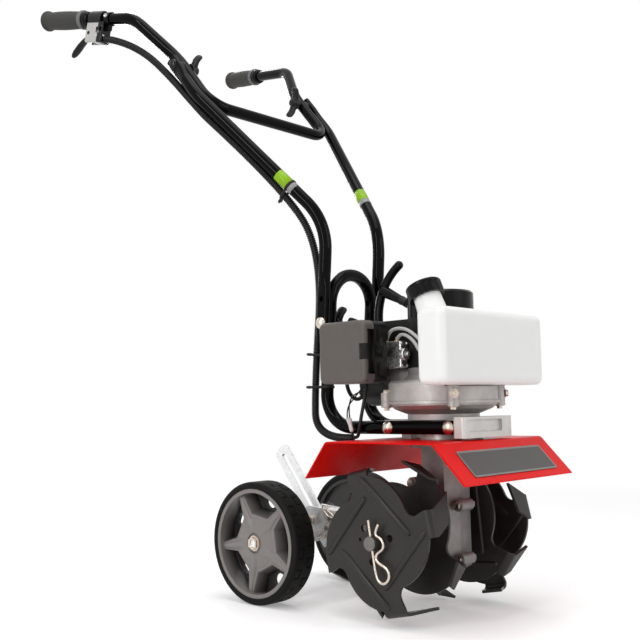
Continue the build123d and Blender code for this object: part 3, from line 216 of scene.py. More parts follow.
def spangleGroup():
    # crystal flakes of hot-dip zinc
    group, given = newGroup("zincSpangle", {"Light": midGrey, "Dark": midGrey, "Flake": 180.0})
    flake = addNode(group, "TexVoronoi", {"Vector": given["Vector"], "Scale": given["Flake"]})
    tone = addNode(group, "SeparateColor", {"Color": flake.outputs["Color"]})
    noise = addNode(group, "TexNoise", {"Vector": given["Vector"]}, {"Scale": 45.0, "Detail": 4.0})
    haze = noise.outputs["Fac"]
    both = addNode(group, "Math", {0: tone.outputs[0], 1: haze}, operation="MULTIPLY")
    mix = addNode(group, "Mix", {0: both.outputs[0], 6: given["Light"], 7: given["Dark"]}, data_type="RGBA")
    rough = addNode(group, "MapRange", {"Value": tone.outputs[1]}, {"To Min": 0.32, "To Max": 0.5})
    endGroup(group, mix.outputs[2], rough.outputs[0], haze)
    return group


# materials

def shaderStart(name, metal, coat, specular):
    material = bpy.data.materials.new(name)
    tree = nodeTree(material)
    values = {"Metallic": metal, "Coat Weight": coat, "Coat Roughness": 0.05, "Specular IOR Level": specular}
    shader = addNode(tree, "BsdfPrincipled", None, values)
    addNode(tree, "OutputMaterial", {"Surface": shader.outputs[0]})
    return material, tree, shader, addNode(tree, "TexCoord").outputs["Object"]


def surfaceBump(tree, shader, height, bump, edge):
    # soft edges first, then the grain over them
    relief = addNode(tree, "Bump", {"Height": height}, {"Strength": bump, "Distance": 0.0004})
    if edge > 0:
        bevel = addNode(tree, "Bevel", None, {"Radius": edge}, samples=4)
        tree.links.new(bevel.outputs[0], relief.inputs["Normal"])
    tree.links.new(relief.outputs[0], shader.inputs["Normal"])


def wearSkin(tree, shader, skin, bump, edge):
    tree.links.new(skin.outputs["Color"], shader.inputs["Base Color"])
    tree.links.new(skin.outputs["Roughness"], shader.inputs["Roughness"])
    surfaceBump(tree, shader, skin.outputs["Height"], bump, edge)


def skinFinish(name, base, fleck, rough, metal=0.0, amount=0.5, patch=60, grain=1500, bump=0.06, coat=0.0,
               specular=0.5, edge=0.0006):
    material, tree, shader, place = shaderStart(name, metal, coat, specular)
    values = {"Base": (*base, 1), "Fleck": (*fleck, 1), "Amount": amount, "Patch": patch, "Grain": grain,
              "Rough Low": rough[0], "Rough High": rough[1]}
    skin = addNode(tree, "Group", {"Vector": place}, values, node_tree=groups["skin"])
    wearSkin(tree, shader, skin, bump, edge)
    return material


def spangleFinish(name, light, dark, flake):
    material, tree, shader, place = shaderStart(name, metal=0.85, coat=0.0, specular=0.5)
    values = {"Light": (*light, 1), "Dark": (*dark, 1), "Flake": flake}
    skin = addNode(tree, "Group", {"Vector": place}, values, node_tree=groups["spangle"])
    wearSkin(tree, shader, skin, bump=0.06, edge=0.0005)
    return material


finishes = {}
skins = {
    # look: material, base colour, fleck colour, roughness range, and what differs from the usual skin
    "blackGloss": ("blackTubePaint", (0.0016, 0.0016, 0.0017), (0.003, 0.003, 0.0032), (0.05, 0.09),
                   dict(patch=30, grain=500, bump=0.02, specular=0.075, edge=0.0)),
    "redGloss": ("redFenderPaint", (0.80, 0.0035, 0.002), (0.72, 0.003, 0.002), (0.26, 0.36),
                 dict(patch=14, grain=450, bump=0.03, specular=0.09, edge=0.0008)),
    "tineDark": ("darkTinePaint", (0.017, 0.0155, 0.014), (0.040, 0.036, 0.032), (0.30, 0.46),
                 dict(patch=26, grain=700, bump=0.10, specular=0.3, edge=0.0009)),
    "gripRubber": ("charcoalGrip", (0.038, 0.037, 0.035), (0.058, 0.056, 0.052), (0.62, 0.78),
                   dict(bump=0.30, specular=0.35)),
    "zincDull": ("zincHousing", (0.56, 0.55, 0.53), (0.38, 0.37, 0.36), (0.30, 0.46),
                 dict(metal=0.9, patch=90, grain=1400, bump=0.10)),
    "zincGold": ("zincFastener", (0.66, 0.60, 0.50), (0.60, 0.48, 0.44), (0.22, 0.36),
                 dict(metal=1.0, amount=0.8, patch=120, edge=0.0004)),
    "castBright": ("brightCasting", (0.62, 0.60, 0.58), (0.42, 0.40, 0.38), (0.38, 0.56),
                   dict(metal=0.75, grain=800, bump=0.35, edge=0.0009)),
    "castMid": ("middleCasting", (0.42, 0.395, 0.38), (0.27, 0.25, 0.24), (0.38, 0.56),
                dict(metal=0.7, grain=800, bump=0.35, edge=0.0009)),
    "castDull": ("dullCasting", (0.25, 0.235, 0.225), (0.15, 0.138, 0.13), (0.42, 0.62),
                 dict(metal=0.6, patch=55, grain=750, bump=0.40, edge=0.0009)),
    "machined": ("machinedSteel", (0.62, 0.61, 0.59), (0.48, 0.47, 0.45), (0.22, 0.34),
                 dict(metal=1.0, patch=200, grain=1800, bump=0.05)),
    "axleSteel": ("darkAxleSteel", (0.19, 0.18, 0.17), (0.11, 0.10, 0.095), (0.34, 0.50),
                  dict(metal=0.85, patch=120, bump=0.10)),
    "bronze": ("wormBronze", (0.62, 0.42, 0.19), (0.50, 0.32, 0.13), (0.28, 0.40),
               dict(metal=1.0, patch=120)),
    "brass": ("brassFitting", (0.68, 0.52, 0.24), (0.56, 0.42, 0.18), (0.24, 0.36),
              dict(metal=1.0, patch=160, grain=1600, bump=0.05)),
    "blackMould": ("blackMoulding", (0.008, 0.0078, 0.0072), (0.015, 0.0145, 0.0135), (0.32, 0.46),
                   dict(patch=70, grain=1600, bump=0.16, specular=0.24)),
    "blackShine": ("blackShinyMoulding", (0.003, 0.003, 0.0029), (0.006, 0.0059, 0.0057), (0.14, 0.24),
                   dict(grain=1200, bump=0.05, specular=0.13)),
    "warmMould": ("warmGreyMoulding", (0.108, 0.094, 0.086), (0.134, 0.118, 0.108), (0.40, 0.54),
                  dict(grain=1700, bump=0.20, specular=0.3, edge=0.0012)),
    "hubMould": ("greyHubMoulding", (0.21, 0.19, 0.18), (0.24, 0.22, 0.208), (0.28, 0.40),
                 dict(patch=50, grain=1700, bump=0.14, specular=0.4, edge=0.0026)),
    "tyreRubber": ("tyreRubber", (0.0075, 0.0072, 0.0069), (0.015, 0.0142, 0.0131), (0.54, 0.70),
                   dict(patch=35, grain=1300, bump=0.25, specular=0.10, edge=0.0008)),
    "cableSkin": ("blackCableSkin", (0.008, 0.008, 0.008), (0.015, 0.015, 0.0145), (0.32, 0.46),
                  dict(patch=90, grain=1600, bump=0.08, specular=0.3, edge=0.0)),
    "loomSkin": ("ribbedLoomSkin", (0.005, 0.005, 0.0049), (0.010, 0.0098, 0.0095), (0.30, 0.42),
                 dict(patch=80, bump=0.10, specular=0.22, edge=0.0)),
    "hoseSkin": ("greyHoseSkin", (0.42, 0.42, 0.40), (0.50, 0.50, 0.47), (0.28, 0.40),
                 dict(patch=80, grain=1300, coat=0.2, edge=0.0)),
    "foam": ("filterFoam", (0.05, 0.05, 0.05), (0.10, 0.10, 0.10), (0.85, 0.95),
             dict(patch=300, grain=2500, bump=0.8)),
    "rope": ("starterRope", (0.45, 0.44, 0.42), (0.30, 0.29, 0.28), (0.75, 0.9),
             dict(patch=400, grain=1800, bump=0.5, edge=0.0)),
    "mufflerPaint": ("mufflerPaint", (0.06, 0.06, 0.058), (0.10, 0.096, 0.09), (0.50, 0.66),
                     dict(metal=0.2, patch=50, grain=900, bump=0.25)),
    "clearSleeve": ("clearSleeve", (0.72, 0.71, 0.67), (0.80, 0.79, 0.76), (0.22, 0.32),
                    dict(patch=150, bump=0.04, edge=0.0)),
    "tank": ("milkyTank", (0.94, 0.94, 0.925), (0.91, 0.91, 0.895), (0.34, 0.44),
             dict(patch=22, grain=1400, edge=0.0)),
    "greenBand": ("greenBand", (0.25, 0.47, 0.010), (0.28, 0.51, 0.014), (0.26, 0.34),
                  dict(amount=0.15, patch=40, grain=1400, bump=0.03, specular=0.2, edge=0.0)),
    "greyBand": ("greyBand", (0.27, 0.27, 0.27), (0.31, 0.31, 0.31), (0.24, 0.34),
                 dict(amount=0.4, patch=40, grain=1400, bump=0.03, specular=0.3, edge=0.0)),
    "plateFace": ("barePlateFace", (0.088, 0.083, 0.080), (0.108, 0.102, 0.099), (0.34, 0.46),
                  dict(patch=30, specular=0.15, edge=0.0)),
    "plateRim": ("barePlateRim", (0.22, 0.21, 0.20), (0.26, 0.25, 0.24), (0.34, 0.46),
                 dict(patch=40, specular=0.2, edge=0.0)),
    "gripGrey": ("greyGripRing", (0.13, 0.135, 0.133), (0.17, 0.175, 0.172), (0.40, 0.52),
                 dict(bump=0.10, specular=0.35)),
}


def buildFinishes():
    for look, (name, base, fleck, rough, rest) in skins.items():
        finishes[look] = skinFinish(name, base, fleck, rough, **rest)
    paintHubPocketShade(finishes["hubMould"])
    fillTank(finishes["tank"])
    finishes["galvanised"] = spangleFinish("galvanisedPlate", (0.90, 0.905, 0.905), (0.72, 0.725, 0.73), 220)
    finishes["housingTwoTone"] = splitFinish("zincAndBlackHousing", "zincDull", "blackShine", housingSplit)
    finishes["boltTwoTone"] = splitFinish("zincAndBlackBolts", "zincGold", "blackShine", boltSplit)


def nodeOf(material, kind):
    return next(n for n in material.node_tree.nodes if n.type == kind)


# painted shade: the hub's pockets darken from the face of its arms to their floor, in metres from the middle
# plane
hubPocketPaintedShade = {"From Min": 0.102, "From Max": 0.1225, "To Min": 0.10, "To Max": 1.0}


def paintHubPocketShade(material):
    tree = material.node_tree
    across = addNode(tree, "SeparateXYZ", {0: nodeOf(material, "TEX_COORD").outputs["Object"]})
    far = addNode(tree, "Math", {0: across.outputs["X"]}, operation="ABSOLUTE")
    depth = addNode(tree, "MapRange", {"Value": far.outputs[0]}, hubPocketPaintedShade)
    colour = nodeOf(material, "GROUP").outputs["Color"]
    # the hub's own colour multiplied by the painted shade of its pockets
    shade = addNode(tree, "Mix", {6: colour, 7: depth.outputs[0]}, {0: 1.0}, data_type="RGBA",
                    blend_type="MULTIPLY")
    tree.links.new(shade.outputs[2], nodeOf(material, "BSDF_PRINCIPLED").inputs["Base Color"])


def fillTank(material):
    # light passes a little way into the milky wall
    sockets = nodeOf(material, "BSDF_PRINCIPLED").inputs
    sockets["Subsurface Weight"].default_value = 0.25
    sockets["Subsurface Radius"].default_value = (0.006, 0.006, 0.0055)
    sockets["Subsurface Scale"].default_value = 1.0


# planes that part two finishes on one solid, each as a point and the way to the second finish
housingSplit = [((-0.199724, 0.294306, 0.951249), (0.039758, -0.210194, 0.976851)),
                ((-0.193738, 0.262659, 0.953409), (0.181552, -0.959832, -0.213921))]
boltSplit = [((0, 0, 0.7), (0, 0, 1))]


def splitFinish(name, first, second, split):
    # metal before the planes and no metal past them
    material, tree, shader, place = shaderStart(name, metal=0.0, coat=0.0, specular=0.3)
    side = None
    for point, way in split:
        past = addNode(tree, "VectorMath", {0: place}, {1: way}, operation="DOT_PRODUCT")
        over = addNode(tree, "Math", {0: past.outputs["Value"]}, {1: Vector(point).dot(Vector(way))},
                       operation="GREATER_THAN").outputs[0]
        side = addNode(tree, "Math", {0: side, 1: over}, operation="MAXIMUM").outputs[0] if side else over
    found = []
    for look in (first, second):
        source = nodeOf(finishes[look], "GROUP")
        values = {socket.name: socket.default_value for socket in source.inputs if socket.name != "Vector"}
        found.append(addNode(tree, "Group", {"Vector": place}, values, node_tree=source.node_tree).outputs)
    tint = addNode(tree, "Mix", {0: side, 6: found[0]["Color"], 7: found[1]["Color"]}, data_type="RGBA")
    rough = addNode(tree, "Mix", {0: side, 2: found[0]["Roughness"], 3: found[1]["Roughness"]},
                    data_type="FLOAT")
    metal = addNode(tree, "Math", {1: side}, {0: 1.0}, operation="SUBTRACT")
    for label, source in (("Base Color", tint.outputs[2]), ("Roughness", rough.outputs[0]),
                          ("Metallic", metal.outputs[0])):
        tree.links.new(source, shader.inputs[label])
    surfaceBump(tree, shader, found[0]["Height"], bump=0.08, edge=0.0005)
    return material


# which finish each carried-over solid wears

nodeFinish = {
    "blackGloss": ["frame_tube", "lower_handle_right", "lower_handle_left", "upper_handlebar"],
    "redGloss": ["fender"],
    "tineDark": ["tine_outer_right", "tine_outer_left", "tine_inner_right", "tine_inner_left"],
    "gripRubber": ["grip_right", "grip_left"],
    "housingTwoTone": ["throttle_housing"],
    "boltTwoTone": ["chassis_bolts"],
    "zincGold": ["tine_clips", "bracket_fasteners"],
    "galvanised": ["wheel_bracket", "drag_stake"],
    "castBright": ["base_casting"],
    "castMid": ["clutch_housing", "crankcase", "cylinder"],
    "castDull": ["gearcase_left", "gearcase_right", "hitch_bar"],
    "axleSteel": ["tine_axle"],
    "machined": ["carburettor", "worm_shaft", "crankshaft", "gearcase_bearings"],
    "bronze": ["worm_wheel"],
    "blackMould": ["handle_saddles", "throttle_lever", "cable_ties", "cylinder_scroll", "fan_shroud",
                   "choke_lever", "air_filter_base", "stop_switch"],
    "blackShine": ["knob_upper_right", "knob_upper_left", "knob_lower_right", "knob_lower_left",
                   "recoil_housing", "recoil_handle", "fuel_cap", "throttle_clamp"],
    "warmMould": ["air_filter_cover"],
    "foam": ["air_filter_element"],
    "hubMould": ["wheel_hub_right", "wheel_hub_left"],
    "tyreRubber": ["tyre_right", "tyre_left"],
    "mufflerPaint": ["muffler"],
    "tank": ["fuel_tank"],
    "cableSkin": ["throttle_cable", "lower_cables", "spark_plug_lead"],
    "loomSkin": ["cable_loom"],
    "hoseSkin": ["fuel_lines"],
    "rope": ["recoil_rope"],
}


def dressSolids():
    for look, names in nodeFinish.items():
        for name in names:
            mesh = nodes[name].data
            mesh.materials.clear()
            mesh.materials.append(finishes[look])


# mesh helpers

def newPiece(name, bm, look, body, replaced=(), sharp=None, smooth=True):
    # sharp is the angle in degrees past which an edge isn't smoothed
    mesh = bpy.data.meshes.new(name)
    for face in bm.faces:
        face.smooth = smooth
    bm.to_mesh(mesh)
    bm.free()
    if sharp:
        mesh.set_sharp_from_angle(angle=radians(sharp))
    mesh.materials.append(finishes[look])
    obj = bpy.data.objects.new(name, mesh)
    bpy.context.scene.collection.objects.link(obj)
    if body:
        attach(obj, body)
    if replaced:
        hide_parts(*replaced)
    return obj


def fromDrawing(x, y, z):
    return Vector((x, y + drawingShift, z)) * mm


def aimed(place, way):
    # a stand at place whose Z points along way
    turn = Vector(way).normalized().to_track_quat("Z", "Y")
    return Matrix.Translation(place) @ turn.to_matrix().to_4x4()


def edgesOf(verts):
    # each edge once, in a fixed order
    return list(dict.fromkeys(e for v in verts for e in v.link_edges))


def softEdges(bm, edges, offset, segments):
    bmesh.ops.bevel(bm, geom=edges, offset=offset * mm, affect="EDGES", segments=segments, profile=0.5,
                    material=-1)


def addRod(bm, radius, length, sides, stand):
    # centred on the stand, with sizes in mm
    return bmesh.ops.create_cone(bm, cap_ends=True, segments=sides, radius1=radius * mm, radius2=radius * mm,
                                 depth=length * mm, matrix=stand)["verts"]


def spunRing(bm, section, place, way, steps=48):
    # a closed section of (along, radius) points in mm, turned round an axis
    stand = aimed(place, way)
    verts = [bm.verts.new(stand @ Vector((radius * mm, 0, along * mm))) for along, radius in section]
    edges = [bm.edges.new(pair) for pair in zip(verts, verts[1:] + verts[:1])]
    bmesh.ops.spin(bm, geom=verts + edges, cent=stand.translation, axis=stand.to_3x3().col[2], angle=2 * pi,
                   steps=steps, use_merge=True)


def finishRing(bm):
    bmesh.ops.remove_doubles(bm, verts=bm.verts, dist=1e-7)
    bmesh.ops.recalc_face_normals(bm, faces=bm.faces)


def ringPiece(name, section, place, way, steps, look, body, replaced, sharp):
    bm = bmesh.new()
    spunRing(bm, section, place, way, steps)
    finishRing(bm)
    newPiece(name, bm, look, body, replaced, sharp)


def routeLine(points, stepsPerRun=24):
    # the smooth line of a cord: a spline that has the route's points as its control points
    curve = bpy.data.curves.new("route", "CURVE")
    curve.dimensions = "3D"
    spline = curve.splines.new("NURBS")
    spline.points.add(len(points) - 1)
    for point, place in zip(spline.points, points):
        point.co = (*place, 1)
    spline.order_u = 3
    spline.use_endpoint_u = True
    spline.resolution_u = stepsPerRun
    holder = bpy.data.objects.new("route", curve)
    bpy.context.scene.collection.objects.link(holder)
    bpy.context.view_layer.update()
    mesh = bpy.data.meshes.new_from_object(holder)
    line = [vertex.co.copy() for vertex in mesh.vertices]
    bpy.data.objects.remove(holder)
    bpy.data.curves.remove(curve)
    bpy.data.meshes.remove(mesh)
    return line


def walkLine(line, places):
    # points and directions at the given distances along a line
    lengths = [0.0]
    for a, b in zip(line, line[1:]):
        lengths.append(lengths[-1] + (b - a).length)
    found = []
    run = 0
    for place in places:
        while run < len(line) - 2 and lengths[run + 1] < place:
            run += 1
        a, b = line[run], line[run + 1]
        share = (place - lengths[run]) / max(lengths[run + 1] - lengths[run], 1e-9)
        found.append((a + (b - a) * share, (b - a).normalized()))
    return found


def lineLength(line):
    return sum((b - a).length for a, b in zip(line, line[1:]))


def ringMesh(rings, sides):
    # unit circles set by the given matrices, each extruded from the last
    bm = bmesh.new()
    bmesh.ops.create_circle(bm, cap_ends=True, segments=sides, radius=1.0, matrix=rings[0])
    edges = list(bm.edges)
    for before, after in zip(rings, rings[1:]):
        grown = bmesh.ops.extrude_edge_only(bm, edges=edges)["geom"]
        verts = [g for g in grown if isinstance(g, bmesh.types.BMVert)]
        edges = [g for g in grown if isinstance(g, bmesh.types.BMEdge)]
        bmesh.ops.transform(bm, matrix=after @ before.inverted(), verts=verts)
    bmesh.ops.edgeloop_fill(bm, edges=edges)
    bmesh.ops.recalc_face_normals(bm, faces=bm.faces)
    return bm


def tubeMesh(line, sections, sides):
    # round rings along a line; sections are (distance, radius)
    stations = walkLine(line, [place for place, radius in sections])
    turn = stations[0][1].to_track_quat("Z", "X")
    rings = []
    for (point, way), (place, radius) in zip(stations, sections):
        turn = (turn @ Vector((0, 0, 1))).rotation_difference(way) @ turn
        rings.append(Matrix.Translation(point) @ turn.to_matrix().to_4x4() @ Matrix.Scale(radius, 4))
    return ringMesh(rings, sides)


def shapedRod(line, rows, sides):
    # rows are (share of the length, radius in mm)
    length = lineLength(line)
    return tubeMesh(line, [(share * length, radius * mm) for share, radius in rows], sides)


def bladeMesh(line, side, rows, sides=28):
    # flat rings along a line: rows are (share of the length, half width along side, half thickness) in mm
    length = lineLength(line)
    rings = []
    stations = walkLine(line, [share * length for share, wide, thick in rows])
    for (point, way), (share, wide, thick) in zip(stations, rows):
        turn = Matrix((side, way.cross(side).normalized(), way)).transposed().to_4x4()
        rings.append(Matrix.Translation(point) @ turn @ Matrix.Diagonal((wide * mm, thick * mm, mm, 1)))
    return ringMesh(rings, sides)


def addMesh(bm, other):
    # joins a second bmesh to the first
    mesh = bpy.data.meshes.new("joined")
    other.to_mesh(mesh)
    other.free()
    bm.from_mesh(mesh)
    bpy.data.meshes.remove(mesh)


def plainSections(line, radius, step):
    length = lineLength(line)
    count = max(int(length / step), 2)
    return [(length * k / count, radius) for k in range(count + 1)]


def plainCable(name, route, radius, look, body, replaced, sides=16, step=2.5):
    # radius and step are in mm
    line = routeLine(route)
    bm = tubeMesh(line, plainSections(line, radius * mm, step * mm), sides)
    newPiece(name, bm, look, body, replaced)


# ribbed loom: one run down the frame and one across the fold

loom = {
    "route": [(-0.14234, 0.05152, 0.74156), (-0.09009, -0.05905, 0.62139), (-0.05455, -0.1079, 0.52),
              (-0.05455, -0.08729, 0.318), (-0.05455, -0.08729, 0.2379), (-0.05455, -0.16009, 0.2409)],
    "upper": [(-0.19327, 0.26021, 0.91806), (-0.18809, 0.23279, 0.9099), (-0.172, 0.17741, 0.8775),
              (-0.1574, 0.1313, 0.83022), (-0.14795, 0.06295, 0.75485), (-0.14246, 0.05177, 0.74185)],
    "pitch": 3.4 * mm,
    # one rib, as share of the pitch and radius in mm
    "rib": [(0.0, 4.9), (0.22, 5.7), (0.42, 6.0), (0.62, 5.7), (0.84, 4.9)],
    "sides": 24,
    "stepsPerRun": 40,
    "foldStart": (-0.1480, 0.0700, 0.7640),
    "foldEnd": (-0.1680, 0.1650, 0.8650),
}


def ribbedHose(route):
    line = routeLine(route, loom["stepsPerRun"])
    length = lineLength(line)
    ribs = int(length / loom["pitch"])
    pitch = length / ribs
    sections = [((rib + share) * pitch, radius * mm) for rib in range(ribs) for share, radius in loom["rib"]]
    sections.append((length, loom["rib"][0][1] * mm))
    return tubeMesh(line, sections, loom["sides"])


def cableLoom():
    newPiece("ribbedLoom", ribbedHose(loom["route"]), "loomSkin", "chassis", ["cable_loom"])
    upper = newPiece("ribbedLoomUpper", ribbedHose(loom["upper"]), "loomSkin", None, ["throttle_cable"])
    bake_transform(upper)


# throttle cable's foot, and the two stop wires with their sleeves

pullCable = {
    "route": [(-0.05455, -0.15208, 0.2409), (-0.05455, -0.16809, 0.2409), (-0.0615, -0.17809, 0.2469),
              (-0.0615, -0.18308, 0.272), (-0.055, -0.18609, 0.302), (-0.05, -0.18809, 0.332),
              (-0.049, -0.21449, 0.35)],
    "radius": 2.5,
}
stopWires = {
    "low": [[(-0.05875, -0.16049, 0.2409), (-0.05975, -0.16609, 0.2409), (-0.063, -0.16609, 0.2493)],
            [(-0.05615, -0.16049, 0.2375), (-0.05715, -0.17009, 0.2375), (-0.069, -0.17209, 0.2493)]],
    "sleeve": [[(-0.063, -0.16609, 0.25), (-0.063, -0.15809, 0.27)],
               [(-0.069, -0.17209, 0.25), (-0.069, -0.16809, 0.27)]],
    "high": [[(-0.063, -0.15809, 0.27), (-0.061, -0.15509, 0.284), (-0.045, -0.15809, 0.3),
              (-0.03545, -0.16609, 0.31475)],
             [(-0.069, -0.16809, 0.27), (-0.067, -0.16309, 0.29), (-0.051, -0.16409, 0.307),
              (-0.03383, -0.17209, 0.30869)]],
    "radius": 1.0,
    "sides": 10,
    "step": 1.5,
    "sleeveRows": [(0.0, 1.44), (0.06, 2.4), (0.3, 2.4), (0.34, 2.064), (0.66, 2.064), (0.7, 2.4),
                   (0.94, 2.4), (1.0, 1.44)],
}


def controlCables():
    plainCable("throttleCableFoot", pullCable["route"], pullCable["radius"], "cableSkin", "chassis",
               ["lower_cables"])
    for side in range(2):
        for part in ("low", "high"):
            plainCable(f"stopWire{part.title()}{side + 1}", stopWires[part][side], stopWires["radius"],
                       "cableSkin", "chassis", (), stopWires["sides"], stopWires["step"])
        sleeve = shapedRod(routeLine(stopWires["sleeve"][side]), stopWires["sleeveRows"], 16)
        newPiece(f"wireSleeve{side + 1}", sleeve, "clearSleeve", "chassis", ())


# fuel hoses, and the plug's lead with its boot

fuelHoses = {
    "feed": [(-0.072, -0.32899, 0.36), (-0.072, -0.30909, 0.36), (-0.064, -0.29009, 0.377),
             (-0.06, -0.26809, 0.391), (-0.055, -0.24408, 0.394), (-0.05, -0.22809, 0.389),
             (-0.049, -0.22309, 0.3778)],
    "return": [(-0.084, -0.32899, 0.352), (-0.084, -0.30909, 0.352), (-0.067, -0.28609, 0.372),
               (-0.06, -0.26509, 0.384), (-0.053, -0.24808, 0.384), (-0.05, -0.24208, 0.3778)],
    "radius": 2.4,
}
plugLead = {
    "route": [(-0.006, -0.14009, 0.302), (-0.009, -0.13209, 0.293), (-0.024, -0.12609, 0.307),
              (-0.036, -0.13209, 0.337), (-0.034, -0.16009, 0.382), (-0.02, -0.19209, 0.39)],
    "radius": 3.0,
    "boot": [(0.0, -0.1590, 0.321), (0.0, -0.15408, 0.321), (0.0, -0.14409, 0.3195), (-0.004, -0.1405, 0.311),
             (-0.006, -0.14009, 0.302)],
    "bootRows": [(0.0, 5.0), (0.16, 5.0), (0.18, 8.0), (0.34, 8.0), (0.36, 7.0), (0.42, 7.0), (0.44, 8.0),
                 (0.86, 7.4), (0.93, 6.6), (1.0, 5.0)],
}


def engineHoses():
    radius = fuelHoses["radius"]
    plainCable("fuelHoseFeed", fuelHoses["feed"], radius, "hoseSkin", "chassis", ["fuel_lines"])
    plainCable("fuelHoseReturn", fuelHoses["return"], radius, "hoseSkin", "chassis", ())
    plainCable("plugLead", plugLead["route"], plugLead["radius"], "cableSkin", "chassis", ["spark_plug_lead"])
    boot = shapedRod(routeLine(plugLead["boot"]), plugLead["bootRows"], 24)
    newPiece("plugBoot", boot, "cableSkin", "chassis", ())


# starter rope

starterRope = {
    "route": [(-0.005, -0.24124, 0.42692), (-0.005, -0.21716, 0.43896)],
    "strands": 3,
    "turns": 3,
    "steps": 48,
    "offset": 0.96 * mm,
    "strandRadius": 1.04 * mm,
    "strandStep": 0.6 * mm,
}


def ropeStrands():
    # strands laid round the rope's line
    line = routeLine(starterRope["route"])
    length = lineLength(line)
    steps = starterRope["steps"]
    side = Vector((1, 0, 0))
    for strand in range(starterRope["strands"]):
        path = []
        for point, way in walkLine(line, [length * step / steps for step in range(steps + 1)]):
            angle = 2 * pi * (starterRope["turns"] * len(path) / steps + strand / starterRope["strands"])
            path.append(point + (side * cos(angle) + way.cross(side) * sin(angle)) * starterRope["offset"])
        bm = tubeMesh(path, plainSections(path, starterRope["strandRadius"], starterRope["strandStep"]), 10)
        piece = newPiece(f"starterRopeStrand{strand + 1}", bm, "rope", None, ["recoil_rope"])
        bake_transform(piece)


# transport tyres: smooth rounded sides and a tread with shallow open-box grooves

tyre = {
    "centre": (225.0, 89.0),
    "outerFace": 130.0,
    "shoulder": [(0.9, 79.12), (0.2, 79.9), (0.0, 81.0), (0.0, 81.4), (0.5, 81.7), (0.5, 82.2), (0.0, 82.5),
                 (0.0, 84.6), (0.5, 86.5), (1.6, 88.0), (3.2, 88.8)],
    "tread": [(4.8, 89.0), (6.5, 89.0), (15.0, 89.0), (16.8, 89.0)],
    "treadFrom": 88.9,
    "width": 41.0,
    # one step is one degree; the pitch and length of a box are in degrees too
    "steps": 360,
    "pitch": 20,
    "box": 9,
    "depth": 1.5,
}


def tyreGrooves(bm, centre, outer):
    # two rows of grooves, each like a box that is open to its own side
    chosen = []
    wallFrom, backFrom, backTo = (tyre["tread"][row][0] for row in (1, 2, 3))
    for face in bm.faces:
        middle = face.calc_center_median() - centre
        if Vector((middle.y, middle.z)).length < tyre["treadFrom"] * mm:
            continue
        across = abs(middle.x - outer) / mm
        degree = int((atan2(middle.z, middle.y) % (2 * pi)) * 180 / pi)
        near = min(across, tyre["width"] - across)
        step = (degree + (tyre["pitch"] // 2 if across > tyre["width"] / 2 else 0)) % tyre["pitch"]
        onEnd = step in (0, tyre["box"]) and wallFrom < near < backTo
        onBack = step <= tyre["box"] and backFrom < near < backTo
        if onEnd or onBack:
            chosen.append(face)
    sunk = bmesh.ops.extrude_face_region(bm, geom=chosen)["geom"]
    bmesh.ops.delete(bm, geom=chosen, context="FACES_ONLY")
    verts = [g for g in sunk if isinstance(g, bmesh.types.BMVert)]
    shrink = 1 - tyre["depth"] / tyre["centre"][1]
    bmesh.ops.scale(bm, vec=(1, shrink, shrink), space=Matrix.Translation(-centre), verts=verts)


def transportTyres():
    half = tyre["shoulder"] + tyre["tread"]
    section = half + [(tyre["width"] - across, radius) for across, radius in reversed(half)]
    centre = fromDrawing(0, *tyre["centre"])
    for side, name in bothSides:
        outer = side * tyre["outerFace"] * mm
        bm = bmesh.new()
        spunRing(bm, section, centre + Vector((outer, 0, 0)), (-side, 0, 0), tyre["steps"])
        finishRing(bm)
        tyreGrooves(bm, centre, outer)
        bmesh.ops.recalc_face_normals(bm, faces=bm.faces)
        newPiece(f"treadTyre{name.title()}", bm, "tyreRubber", f"wheel_{name}", [f"tyre_{name}"],
                 sharp=38)


# rounded ridges along the hub's arms, and the cone that they run up to

hubRelief = {
    "face": 123.0,
    "arms": 5,
    "turn": -8.0,
    "reach": (15.0, 74.0),
    "sink": (5.0, 2.0),
    "rows": [(0.0, 9.0), (0.3, 8.0), (0.6, 6.3), (0.85, 4.8), (0.95, 4.1), (1.0, 2.6)],
    "cone": [(-1.5, 14.3), (3.4, 14.3), (3.9, 14.9), (3.7, 16.5), (2.4, 23.0), (1.0, 30.0), (0.2, 36.0),
             (-1.5, 37.0)],
}


def hubRidges():
    y, z = tyre["centre"]
    for side, name in bothSides:
        bm = bmesh.new()
        spunRing(bm, hubRelief["cone"], fromDrawing(side * hubRelief["face"], y, z), (side, 0, 0), 96)
        for arm in range(hubRelief["arms"]):
            angle = radians(hubRelief["turn"] + 360.0 / hubRelief["arms"] * arm)
            ends = []
            for reach, sink in zip(hubRelief["reach"], hubRelief["sink"]):
                x = side * (hubRelief["face"] - sink)
                ends.append(fromDrawing(x, y + reach * cos(angle), z + reach * sin(angle)))
            addMesh(bm, shapedRod(ends, hubRelief["rows"], 28))
        finishRing(bm)
        newPiece(f"hubRidges{name.title()}", bm, "hubMould", f"wheel_{name}", (), sharp=50)


# wing knobs at the handle bolts: a cone with two bowed wings

